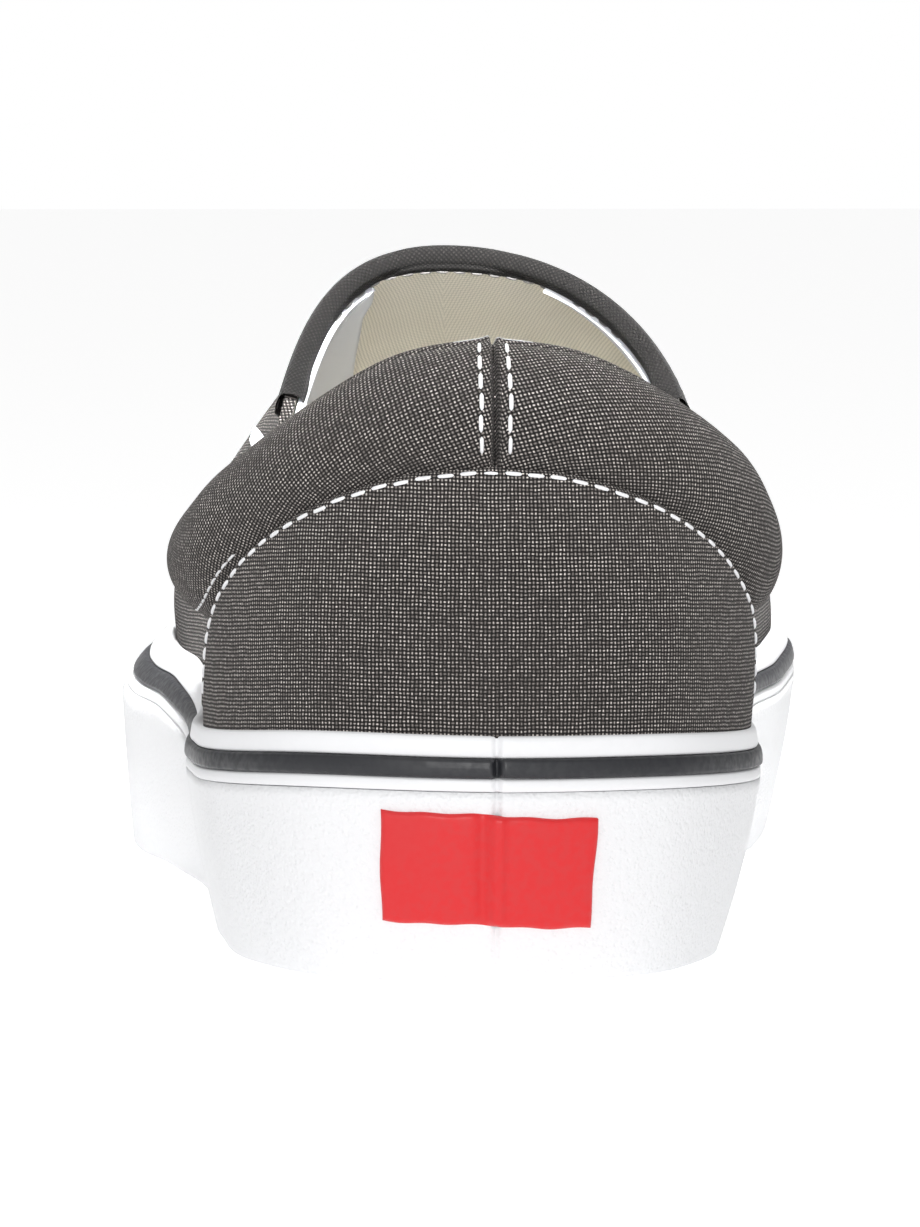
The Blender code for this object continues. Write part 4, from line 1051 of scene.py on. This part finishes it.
def make_panel_stitches(white):
    """The white stitches along the counter's edge, the heel seam and the collar's lower end."""
    made = []
    laps = np.linspace(-0.1885, 0.1885, 1400)
    path, normal = seam_path("counter", laps, 0.0011, GAP + 0.0011)
    made.append(thread_row("counter_stitches", path, normal, 0.0030, 0.0026, 0.00056, 0.00007))
    for side, away in (("left", 0.0020), ("right", -0.0019)):
        heights = np.linspace(COUNTER_HEIGHT + 0.0008, HEEL_COLLAR_HEIGHT + 0.0004, 200)
        lean = 1 + 0.10 * (heights - heights[0]) / (heights[-1] - heights[0])
        lap = (away * lean - HEEL_SEAM_SHIFT) / SIDE_LENGTH
        rise = rise_at_height(lap, np.minimum(heights, HEEL_COLLAR_HEIGHT - 0.0001))
        dip, welt, _ = seam_crest(lap)
        bulge = PAD_HEIGHT * padding(lap, rise, PAD_FADE_STATIONS) * dip + 0.0003 * welt
        path = lifted(lap, rise, GAP + 0.0006 + bulge + 0.0001)
        path[:, 2] += np.maximum(heights - HEEL_COLLAR_HEIGHT, 0)
        made.append(thread_row(f"heel_seam_{side}_stitches", path, wall_normal(lap, rise), 0.0029,
                               0.0025, 0.00058, 0.00010))
    laps = np.linspace(0.128, 0.215, 300)
    rise = rise_at_height(laps, seam_height("collar", laps) + 0.0004)
    path = lifted(laps, rise, GAP + 0.0007 + PAD_HEIGHT * padding(laps, rise, PAD_FADE_STATIONS))
    normal = wall_normal(laps, rise)
    made.append(thread_row("collar_end_stitches", path, normal, 0.0024, 0.0023, 0.00036))
    for obj in made:
        link(obj, white, "padded_canvas")
    return made


def wall_tree():
    """The canvas wall's fine facets, to find the nearest place on it."""
    laps = shoe_columns()
    rise = np.linspace(0, 1, 61)
    lap_grid = spread(laps, len(rise))
    surface = wall_base(lap_grid, np.broadcast_to(rise, lap_grid.shape))
    quads = grid_faces(len(laps), len(rise), True)
    return BVHTree.FromPolygons(surface.reshape(-1, 3).tolist(), quads.tolist())


def binding_frame(columns=181, rows=8, width=0.0046):
    """Places and normals on the wall, from the throat's edge inwards, for each column."""
    tree = wall_tree()
    start = GORE_STATION + BINDING_START + 0.010
    half = PEAK_STATION - (PEAK_STATION - start) * np.linspace(1, 0, columns // 2 + 1) ** 1.5
    laps = np.concatenate([half, 2 - half[-2::-1]])
    edge = wall_base(laps, np.ones(len(laps)))
    tangent = np.gradient(edge, axis=0)
    places = np.empty((len(laps), rows, 3))
    normals = np.empty_like(places)
    point = edge
    for row in range(rows):
        found = [tree.find_nearest(Vector(p)) for p in point]
        places[:, row] = [f[0] for f in found]
        normals[:, row] = [f[1] for f in found]
        down = np.cross(normals[:, row], tangent)
        point = places[:, row] + down / np.linalg.norm(down, axis=1, keepdims=True) * width / (rows - 1)
    kernel = np.array([1, 2, 3, 2, 1]) / 9
    padded = np.pad(normals, ((2, 2), (0, 0), (0, 0)), mode="edge")
    normals = sum(k * padded[i : i + len(laps)] for i, k in enumerate(kernel))
    normals /= np.linalg.norm(normals, axis=2, keepdims=True)
    return laps, places, normals


def make_binding_fold(tape, thread):
    """The throat's binding: a tape folded over the edge, outside, over the rim and inside.

    Its section is the wall's own line lifted outside, a half ellipse over the rim, and the same
    line inside, where it first passes over the gores' ends.
    """
    laps, places, normals = binding_frame()
    station = station_of(laps)[0]
    over = 0.35 * (1 - smooth_step(GORE_STATION + 0.036, GORE_STATION + 0.050, station))
    rows = places.shape[1]
    s = np.linspace(0, 1, rows)
    crown = 0.00035 * np.sin(np.pi * s) ** 0.7
    out = 0.0007 + crown
    out[-1] = 0.0001
    inside = CANVAS_WALL + 0.0004 + (GORE_THICKNESS + GAP) * over
    inside = inside[:, None] + crown[None]
    inside[:, BINDING_INSIDE_ROWS - 1] -= 0.0004
    down = places[:, 1] - places[:, 0]
    down /= np.linalg.norm(down, axis=1, keepdims=True)
    outer = places[:, ::-1] + normals[:, ::-1] * out[::-1][None, :, None]
    taper = smooth_step(GORE_STATION + 0.030, PEAK_STATION - 0.010, station)[:, None, None]
    narrow = places[:, :1] + (places - places[:, :1]) * (0.12 + 0.88 * taper)
    inner = (narrow - normals * inside[..., None])[:, :BINDING_INSIDE_ROWS]
    angle = np.linspace(0, math.pi, 11)[1:-1]
    middle = (out[0] - inside[:, 0]) / 2
    half = (out[0] + inside[:, 0]) / 2
    across = (middle[:, None] + half[:, None] * np.cos(angle))[..., None] * normals[:, :1]
    cap = 0.0011 * np.sin(angle)[None, :, None]
    top = places[:, :1] + across - down[:, None] * cap
    points = np.concatenate([outer, top, inner], axis=1)
    obj = grid_object("throat_binding_tape", points, measure(points))
    link(obj, tape, "binding_tape", "throat_binding")
    row = BINDING_INSIDE_ROWS - 2
    part = slice(len(laps) // 5, -len(laps) // 5)
    path = narrow[part, row] - normals[part, row] * (inside[part, row] + 0.0001)[:, None]
    inside_row = thread_row("binding_inside_stitches", path, -normals[part, row], 0.0026, 0.0019,
                            0.00036, 0.00005)
    link(inside_row, thread, "binding_tape")
    row = rows - 2
    path = places[:, row] + normals[:, row] * (out[row] + 0.00005)
    outside_row = thread_row("binding_outside_stitches", path, normals[:, row], 0.0026, 0.0019, 0.00036)
    link(outside_row, thread, "binding_tape")
    return obj


def make_gore_panel(side, elastic):
    """An elastic gore: a panel just inside the lining, from behind its notch on past the throat.

    Its top follows the topline, and toward its front falls by a smooth step to its own height.
    """
    reach = (GORE_TOP_WIDTH / 2 + GORE_OVERLAP) / SIDE_LENGTH
    front, top, fall, low_from = GORE_FRONT[side]
    stations = np.linspace(GORE_STATION - reach, front, 121)
    laps = stations if side < 0 else 2 - stations[::-1]
    order = 1 if side < 0 else -1
    ahead = smooth_step(GORE_STATION + 0.030, GORE_STATION + 0.060, stations[::order])
    past = smooth_step(fall, low_from, stations[::order])
    foot = GORE_BOTTOM - GORE_OVERLAP
    low = rise_at_height(laps, np.full(len(laps), foot)) + 0.12 * ahead
    high = rise_at_height(laps, topline_height(laps) - 0.0002 - 0.0020 * ahead)
    high = high * (1 - past) + top * past
    t = np.linspace(0, 1, 41)
    rise = low[:, None] + (high - low)[:, None] * t
    lap = spread(laps, len(t))
    inner = lining_wall(lap, rise, GAP + GORE_THICKNESS)
    outer = lining_wall(lap, rise, GAP)
    loop = np.concatenate([outer, inner[:, ::-1]], axis=1)
    loop = np.concatenate([loop, loop[:, :1]], axis=1)
    name = "lateral" if side < 0 else "medial"
    obj = grid_object(f"{name}_gore_elastic", loop, measure(loop))
    return link(obj, elastic, "elastic", f"{name}_gore")


def make_gore_tab(elastic):
    """The lateral gore's turned-out end: a small tab that leans out over the topline.

    It rises and leans out with its height, curls by a sine across it, and is a closed sheet.
    """
    a, b = np.meshgrid(np.linspace(-1, 1, 25), np.linspace(0, 1, 17), indexing="ij")
    lap = GORE_STATION + 0.004 + a * 0.0026 / SIDE_LENGTH * (1 - 0.35 * b**2)
    base = lifted(lap, np.full(lap.shape, 0.96), 0.0002 + 0.0021 * b**0.7)
    base[..., 2] += 0.0034 * b * (1 - 0.25 * a**2) + 0.0002 * np.sin(a * 4)
    thick = 0.0005 * np.sqrt(np.clip(1 - np.maximum(np.abs(a), b) ** 8, 0, 1))
    normal = wall_normal(lap, np.full(lap.shape, 0.96))
    off = normal * thick[..., None]
    points = np.concatenate([base + off, (base - off)[:, ::-1]], axis=1)
    points = np.concatenate([points, points[:, :1]], axis=1)
    obj = grid_object("lateral_gore_tab", points, measure(points))
    return link(obj, elastic, "elastic")


def heel_joint(lap):
    """The side wall's butt joint at the heel: a narrow crease, and one end lying a little proud."""
    away = seam_away(lap)
    slit = np.exp(-((away / 0.00045) ** 2))
    proud = np.where(away < 0, np.exp(away / 0.006), 0) * smooth_step(0.0, 0.0008, -away)
    return slit, proud, away


def ring_object(name, sections, material, slot, *nodes):
    """A closed band from sections, which hold a closed loop of points for each column."""
    loops = np.concatenate([sections, sections[:, :1]], axis=1)
    obj = grid_object(name, loops, measure(loops), around=True)
    return link(obj, material, slot, *nodes)


def ring_laps():
    """The columns of the rubber bands, closer together at the joint at the heel."""
    share = np.linspace(-1, 1, 801)[:-1]
    return np.mod(np.sign(share) * np.abs(share) ** 1.35, 2.0)[np.argsort(np.mod(share, 2.0))]


def canvas_side(lap, z, gap=0.0):
    """The canvas inside the rubber at the height z."""
    foot, top = wall_base(lap, -1.0), wall_base(lap, 0.0)
    share = (z - foot[..., 2]) / (top[..., 2] - foot[..., 2])
    nx, ny = edge_at(lap)[2:4]
    return foot + (top - foot) * share[..., None] + np.stack([nx, ny, 0 * nx], axis=-1) * gap


def make_side_wall(pebbled, smooth, stripe):
    """The rubber side wall: the pebbled lower wall, the smooth tape over it, and the stripe."""
    laps = ring_laps()
    slit, proud, away = heel_joint(laps)
    dent = 0.00060 * slit - 0.00040 * proud
    shares = np.concatenate([[0.010, 0.025], np.linspace(0.05, 0.30, 9), np.linspace(0.34, STEP_SHARE, 12)])
    outer = [sole_side(laps, 0.0, -0.0011), sole_side(laps, 0.003, -0.0006)]
    outer += [sole_side(laps, s, -dent * smooth_step(0, 0.3, s) + (TAPE_STEP - 0.00015) *
                        smooth_step(STEP_SHARE - 0.10, STEP_SHARE - 0.01, s)) for s in shares]
    back = feather_inset(laps) - GAP
    heel = inside_edge(laps, back, 0)
    heel[:, 2] = ground_height(heel[:, 1])
    shoulder = inside_edge(laps, back, 0)
    shoulder[:, 2] = outsole_top(shoulder[:, 1])
    top = canvas_side(laps, outer[-1][:, 2], GAP)
    ring_object("lower_side_wall", np.stack([heel, *outer, top, shoulder], axis=1), pebbled,
                "white_rubber", "foxing")
    low, high = STRIPE_SHARES
    wave = 0.0016 * np.sin(laps * 21 + 0.4)
    profile = [(STEP_SHARE + 0.003, 0.0002), (STEP_SHARE + 0.004, 0.00045), (STEP_SHARE + 0.010, TAPE_STEP)]
    profile += [(s, TAPE_STEP) for s in (STEP_SHARE + 0.022, low - 0.012)]
    profile += [(low - 0.004, TAPE_STEP - 0.00012), (low, TAPE_STEP - 0.0005), (low + 0.004, -0.0003)]
    profile += [(high - 0.004, -0.0003), (high, TAPE_STEP - 0.0005), (high + 0.004, TAPE_STEP - 0.00012)]
    profile += [(s, TAPE_STEP) for s in (high + 0.012, 0.95, 0.975)]
    profile += [(0.990, TAPE_STEP * 0.85), (0.998, TAPE_STEP * 0.45), (1.0, -0.0002)]
    outer = [sole_side(laps, s + wave * 0.4, lift - dent) for s, lift in profile]
    backs = [canvas_side(laps, outer[-1][:, 2], GAP * 0.5), canvas_side(laps, outer[0][:, 2], GAP * 0.5)]
    ring_object("upper_side_tape", np.stack([*outer, *backs], axis=1), smooth, "white_tape", "foxing_tape")
    profile = [(low + 0.001, -0.0002), (low + 0.002, 0.0006), (low + 0.008, 0.00095), (low + 0.018, 0.00105)]
    profile += [((low + high) / 2, 0.0011)]
    profile += [(low + high - share, lift) for share, lift in profile[-2::-1]]
    gap = 0.0006 * slit
    step = 0.006 * smooth_step(0.0, 0.0008, -away) * np.exp(np.minimum(away, 0) / 0.004)
    band = [sole_side(laps, s + wave * 0.4 + step, lift - dent - gap) for s, lift in profile]
    ring_object("side_stripe", np.stack(band, axis=1), stripe, "dark_rubber", "foxing_stripe")


def make_label_patch(red):
    """The heel label: a thin plain patch, set a little askew, bent over the wall's joint.

    Its edges wave by two sines, its rim falls off by a high power of the place across it, and the
    joint shows through as a ridge with a trough beside it, both bell curves.
    """
    a, b = np.meshgrid(np.linspace(-1, 1, 161), np.linspace(-1, 1, 81), indexing="ij")
    edge = np.maximum(np.abs(a) ** 60, np.abs(b) ** 34)
    wave_up = 0.00012 * np.sin(a * 5 + 1) + 0.00009 * np.sin(a * 13) + 0.00055 * a
    wave_along = 0.00012 * np.sin(b * 4 + 2) - 0.00020 * b
    lap = (a * LABEL_WIDTH / 2 + wave_along + 0.0003) / SIDE_LENGTH
    height = LABEL_BOTTOM + LABEL_HEIGHT * (1 + b) / 2 + wave_up
    away = seam_away(lap)
    ridge = 0.00050 * np.exp(-((away / 0.0009) ** 2)) - 0.00045 * np.exp(-(((away - 0.0019) / 0.0009) ** 2))
    proud = np.where(away < 0, np.exp(away / 0.006), 0) * smooth_step(0.0, 0.0008, -away) * 0.0003
    lift = 0.0007 * (1 - edge) + ridge * (1 - edge) + proud
    points = sole_side(np.mod(lap, 2.0), height / FOXING_HEIGHT, lift)
    obj = grid_object("heel_label_patch", points, measure(points))
    return link(obj, red, "red_rubber", "heel_label")


def make_footbed(cloth):
    """The footbed: the outsole's plan drawn in, with a crowned rim that cups the heel."""
    stations = np.concatenate([np.linspace(0, 1, 120) ** 1.3])
    share = np.linspace(0, 1, 41)
    inset = CANVAS_WALL + GAP + 0.0012
    lateral = inside_edge(stations, feather_inset(stations) + inset, 0)
    medial = inside_edge(2 - stations, feather_inset(2 - stations) + inset, 0)
    plan = lateral[:, None] + (medial - lateral)[:, None] * share[None, :, None]
    rim = np.abs(share * 2 - 1)[None]
    heel = 1 - smooth_step(0.12, 0.45, stations)[:, None]
    top = plan.copy()
    top[..., 2] = outsole_top(plan[..., 1]) + GAP + 0.0045 - 0.0003 + 0.0006 * heel * rim**4
    top[..., 2] -= 0.0012 * smooth_step(0.97, 1.0, rim)
    under = plan.copy()
    under[..., 2] = outsole_top(plan[..., 1]) + GAP
    points = np.concatenate([top, under[:, ::-1], top[:, :1]], axis=1)
    obj = grid_object("footbed_pad", points, measure(points), flip=True)
    return link(obj, cloth, "footbed", "insole")


def plain_rubber(name, colour, depth):
    """Smooth rubber in one colour, a little darker on dusty patches and as painted shade in the hollows of
    its skin.
    """
    return rubber_material(name, colour, tuple(c * 0.8 + 0.02 for c in colour), 0.25, depth)


def colours():
    """The colours that the user has chosen."""
    return bpy.context.scene.slipon_colours


def shade(colour, share=1.0):
    """A colour made darker or lighter by a share, and no lighter than white."""
    return tuple(min(1.0, c * share) for c in colour)


def canvas_look(name, share, highlight_share, *rest):
    """Canvas in the user's colour: share dims the threads, and the highlight share dims the painted
    highlight on their crossings.
    """
    chosen = colours()
    return woven_material(name, shade(chosen.canvas, share), shade(chosen.canvas_painted_highlight, highlight_share),
                          CANVAS_GAP_SHADE, chosen.weave_pitch * 1000, *rest)


def lining_look(name, thread, painted_highlight, gap, *rest):
    """Lining cloth in the user's colour: its threads, the painted highlight on their crowns and the painted
    shade in their gaps, each a share of it.
    """
    chosen = colours().lining
    return woven_material(name, shade(chosen, thread), shade(chosen, painted_highlight), shade(chosen, gap), *rest)


def skin_look(name, clean, dusty, *rest):
    """White rubber in the user's colour, clean and darker as shares of it, the darker one for dusty patches
    and painted shade in the hollows.
    """
    return rubber_material(name, shade(colours().rubber, clean), shade(colours().rubber, dusty), *rest)


# The painted shade between the canvas threads, and each finish by its name. A woven finish
# gets its threads' colour, a painted highlight on their crowns and a painted shade in their gaps.
CANVAS_GAP_SHADE = (0.003, 0.003, 0.003)
LOOKS = {
    # The vamp's and the collar's canvas are darker copies of the counter's, a painted shade: their threads
    # and painted highlights are dimmed by a share.
    "vamp canvas": lambda name: canvas_look(name, 0.90, 0.75),
    "counter canvas": lambda name: canvas_look(name, 1.0, 1.0),
    "collar canvas": lambda name: canvas_look(name, 0.94, 0.95, 0.35),
    "binding tape": lambda name: canvas_look(name, 0.12, 0.045, 0.785, 0.15, 0.00012),
    "lining": lambda name: lining_look(name, 1.0, 1.06, 0.70, 0.55, 0.0, 0.25, 0.00004),
    "footbed cloth": lambda name: lining_look(name, 0.74, 0.86, 0.42, 0.7, 0.0, 0.2, 0.00008),
    "white tape": lambda name: woven_material(name, (0.72, 0.72, 0.74), (0.85, 0.85, 0.87),
                                              (0.40, 0.40, 0.42), 0.40, 0.785, 0.1, 0.00008),
    "white thread": lambda name: thread_material(name, shade(colours().thread)),
    "grey thread": lambda name: thread_material(name, (0.13, 0.125, 0.12)),
    "elastic": elastic_material,
    "pebbled rubber": lambda name: skin_look(name, 0.98, 0.91, 0.12, 0.00032),
    "white rubber": lambda name: skin_look(name, 1.0, 0.93, 0.2, 0.00003),
    "dark rubber": lambda name: plain_rubber(name, shade(colours().stripe), 0.00002),
    "red rubber": lambda name: plain_rubber(name, shade(colours().label), 0.00002),
    "sole rubber": lambda name: plain_rubber(name, shade(colours().rubber, 0.97), 0.00008),
}


def look(name):
    """The material of this name, made the first time a piece needs it."""
    return bpy.data.materials.get(name) or LOOKS[name](name)


def colour_property(name, description, default):
    """A colour that the user can change."""
    return bpy.props.FloatVectorProperty(
        name=name, description=description, default=default, size=3, min=0.0, max=1.0, subtype="COLOR")


class SlipOnColours(bpy.types.PropertyGroup):
    canvas: colour_property("Canvas", "Colour of the canvas threads", (0.068, 0.060, 0.056))
    # A painted highlight on the canvas threads' crossings.
    canvas_painted_highlight: colour_property(
        "Canvas Painted Highlight", "Colour of the bright thread crossings", (0.78, 0.72, 0.68))
    weave_pitch: bpy.props.FloatProperty(
        name="Weave Pitch", description="Width of one canvas thread with its gap",
        default=0.00053, min=0.0002, max=0.003, precision=5, unit="LENGTH")
    lining: colour_property("Lining", "Colour of the cloth inside the shoe", (0.86, 0.82, 0.72))
    thread: colour_property("Thread", "Colour of the stitches", (0.82, 0.82, 0.84))
    rubber: colour_property("Rubber", "Colour of the side wall and sole", (0.83, 0.835, 0.85))
    stripe: colour_property("Stripe", "Colour of the stripe round the side wall", (0.013, 0.014, 0.018))
    label: colour_property("Label", "Colour of the plain label at the heel", (0.66, 0.010, 0.013))


class SlipOnStage(bpy.types.PropertyGroup):
    key_power: bpy.props.FloatProperty(
        name="Key Power", description="Strength of the large soft light over the shoe",
        default=2.0, min=0.0, unit="POWER")
    side_power: bpy.props.FloatProperty(
        name="Side Power", description="Strength of the soft light at the lateral side",
        default=0.3, min=0.0, unit="POWER")
    front_power: bpy.props.FloatProperty(
        name="Front Power", description="Strength of the soft light above the camera",
        default=10.0, min=0.0, unit="POWER")
    throat_power: bpy.props.FloatProperty(
        name="Throat Power", description="Strength of the soft light that reaches in at the collar",
        default=0.25, min=0.0, unit="POWER")
    world_strength: bpy.props.FloatProperty(
        name="World Strength", description="Strength of the light from the white surround",
        default=0.50, min=0.0)


class SlipOnUpper(bpy.types.PropertyGroup):
    crease_share: bpy.props.FloatProperty(
        name="Crease Depth", description="Depth of the vamp's creases as a share of the worn shoe's",
        default=1.0, min=0.0, max=3.0, subtype="FACTOR")
    pad_fill: bpy.props.FloatProperty(
        name="Pad Fill", description="How full the collar's padding is, from limp to hard",
        default=0.7, min=0.0, max=1.0, subtype="FACTOR")


class SLIPON_OT_upper(bpy.types.Operator):
    """Make the vamp and quarters in canvas with their cream lining"""

    bl_idname = "slipon.upper"
    bl_label = "Canvas Upper"

    def execute(self, context):
        make_upper_cloth(look("vamp canvas"), look("lining"), context.scene.slipon_upper.crease_share)
        return {"FINISHED"}


class SLIPON_OT_counter(bpy.types.Operator):
    """Make the heel counter panel with its folded top edge"""

    bl_idname = "slipon.counter"
    bl_label = "Heel Counter"

    def execute(self, context):
        make_counter_panel(look("counter canvas"))
        return {"FINISHED"}


class SLIPON_OT_collar(bpy.types.Operator):
    """Make the padded collar and the white tape over its back"""

    bl_idname = "slipon.collar"
    bl_label = "Padded Collar"

    def execute(self, context):
        make_collar_pad(look("collar canvas"), look("lining"), look("white tape"))
        return {"FINISHED"}


class SLIPON_OT_binding(bpy.types.Operator):
    """Make the tape folded over the throat's edge and its stitches"""

    bl_idname = "slipon.binding"
    bl_label = "Throat Binding"

    def execute(self, context):
        make_binding_fold(look("binding tape"), look("grey thread"))
        return {"FINISHED"}


class SLIPON_OT_gores(bpy.types.Operator):
    """Make the two elastic gores"""

    bl_idname = "slipon.gores"
    bl_label = "Elastic Gores"

    def execute(self, context):
        for side in (-1, 1):
            make_gore_panel(side, look("elastic"))
        make_gore_tab(look("elastic"))
        return {"FINISHED"}


class SLIPON_OT_stitches(bpy.types.Operator):
    """Make the white stitches of the heel and the collar"""

    bl_idname = "slipon.stitches"
    bl_label = "Panel Stitches"

    def execute(self, context):
        make_panel_stitches(look("white thread"))
        return {"FINISHED"}


class SLIPON_OT_side_wall(bpy.types.Operator):
    """Make the rubber side wall, its tape and its dark stripe"""

    bl_idname = "slipon.side_wall"
    bl_label = "Rubber Side Wall"

    def execute(self, context):
        make_side_wall(look("pebbled rubber"), look("white rubber"), look("dark rubber"))
        return {"FINISHED"}


class SLIPON_OT_label(bpy.types.Operator):
    """Make the plain red heel label"""

    bl_idname = "slipon.label"
    bl_label = "Heel Label"

    def execute(self, context):
        make_label_patch(look("red rubber"))
        return {"FINISHED"}


class SLIPON_OT_footbed(bpy.types.Operator):
    """Make the footbed and give the outsole its rubber"""

    bl_idname = "slipon.footbed"
    bl_label = "Footbed and Outsole"

    def execute(self, context):
        make_footbed(look("footbed cloth"))
        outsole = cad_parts["outsole"]
        outsole.data.materials.clear()
        outsole.data.materials.append(look("sole rubber"))
        return {"FINISHED"}


class SLIPON_OT_stage(bpy.types.Operator):
    """Make the pale floor, the soft studio lights, the white surround and the camera"""

    bl_idname = "slipon.stage"
    bl_label = "Studio Stage"

    def execute(self, context):
        make_stage(context.scene.slipon_stage)
        return {"FINISHED"}


SETTINGS = {
    "slipon_upper": SlipOnUpper,
    "slipon_colours": SlipOnColours,
    "slipon_stage": SlipOnStage,
}
PIECES = (SLIPON_OT_upper, SLIPON_OT_counter, SLIPON_OT_collar, SLIPON_OT_binding, SLIPON_OT_gores,
          SLIPON_OT_stitches, SLIPON_OT_side_wall, SLIPON_OT_label, SLIPON_OT_footbed, SLIPON_OT_stage)


class SLIPON_PT_panel(bpy.types.Panel):
    """The slip-on sneaker's pieces"""

    bl_idname = "SLIPON_PT_panel"
    bl_label = "Canvas Slip-on Sneaker"
    bl_space_type = "VIEW_3D"
    bl_region_type = "UI"
    bl_category = "Slip-on"

    def draw(self, context):
        for settings, group in SETTINGS.items():
            for name in group.__annotations__:
                self.layout.prop(getattr(context.scene, settings), name)
        for piece in PIECES:
            self.layout.operator(piece.bl_idname)


def area_light(name, place, aim, size, power, colour=(1, 1, 1)):
    """A square soft light at a place, turned to face its aim."""
    light = bpy.data.lights.new(name, "AREA")
    light.shape = "SQUARE"
    light.size = size
    light.energy = power
    light.color = colour
    obj = bpy.data.objects.new(name, light)
    obj.location = place
    obj.rotation_euler = (Vector(aim) - Vector(place)).to_track_quat("-Z", "Y").to_euler()
    bpy.context.scene.collection.objects.link(obj)
    return obj


# The floor's half side, and the camera's place, lens and turn, which are those of the photo
FLOOR_HALF = 6.0
CAMERA_PLACE = (-0.0430, -1.0110, 0.1164)
CAMERA_LENS = 195.2
CAMERA_DOWN = 4.43
CAMERA_RIGHT = 2.32


def make_stage(settings):
    """The floor, lights, surround and camera. The camera stands behind the heel, a little above
    and to the lateral side of it, with the photo's long view."""
    mesh = bpy.data.meshes.new("floor")
    corners = [(x * FLOOR_HALF, y * FLOOR_HALF, 0) for x, y in ((-1, -1), (1, -1), (1, 1), (-1, 1))]
    mesh.from_pydata(corners, [], [(0, 1, 2, 3)])
    floor = bpy.data.objects.new("floor", mesh)
    bpy.context.scene.collection.objects.link(floor)
    material, _, shader = new_material("studio floor", 0.9)
    shader.inputs["Base Color"].default_value = (0.90, 0.90, 0.90, 1)
    shader.inputs["Emission Color"].default_value = (1, 1, 1, 1)
    shader.inputs["Emission Strength"].default_value = 0.50
    floor.data.materials.append(material)
    area_light("key light", (-0.25, -0.75, 1.15), (0, -0.05, 0.04), 1.1, settings.key_power)
    area_light("front light", (-0.10, -1.7, 0.50), (0, 0.0, 0.06), 0.7, settings.front_power)
    throat = area_light("throat light", (0.0, -0.38, 0.40), (0, -0.01, 0.078), 0.10, settings.throat_power)
    throat.data.spread = math.radians(20)
    area_light("side light", (-1.15, -0.35, 0.45), (0, 0, 0.05), 0.9, settings.side_power)
    world = bpy.data.worlds.new("white surround")
    world.use_nodes = True
    surround = world.node_tree.nodes["Background"]
    surround.inputs["Color"].default_value = (1, 1, 1, 1)
    n = Nodes(world.node_tree)
    seen = n.add("ShaderNodeLightPath").outputs["Is Camera Ray"]
    n.put(surround.inputs["Strength"], n.ramp(seen, 0.0, 1.0, settings.world_strength, 1.0))
    bpy.context.scene.world = world
    bpy.context.scene.view_settings.view_transform = "Standard"
    view = bpy.data.cameras.new("camera")
    view.sensor_fit = "VERTICAL"
    view.sensor_height = 36
    view.lens = CAMERA_LENS
    view.clip_end = 50
    camera = bpy.data.objects.new("camera", view)
    camera.location = CAMERA_PLACE
    camera.rotation_euler = (math.radians(90 - CAMERA_DOWN), 0, math.radians(-CAMERA_RIGHT))
    bpy.context.scene.collection.objects.link(camera)
    bpy.context.scene.camera = camera


CLASSES = (*SETTINGS.values(), *PIECES, SLIPON_PT_panel)


def register():
    """Registers the classes and their settings on the scene."""
    for made in CLASSES:
        bpy.utils.register_class(made)
    for name, group in SETTINGS.items():
        setattr(bpy.types.Scene, name, bpy.props.PointerProperty(type=group))


def unregister():
    """Takes back what register did."""
    for name in SETTINGS:
        delattr(bpy.types.Scene, name)
    for made in reversed(CLASSES):
        bpy.utils.unregister_class(made)


def main():
    """Makes each piece through its operator."""
    register()
    for piece in PIECES:
        group, name = piece.bl_idname.split(".")
        getattr(getattr(bpy.ops, group), name)()


if __name__ == "__main__":
    main()
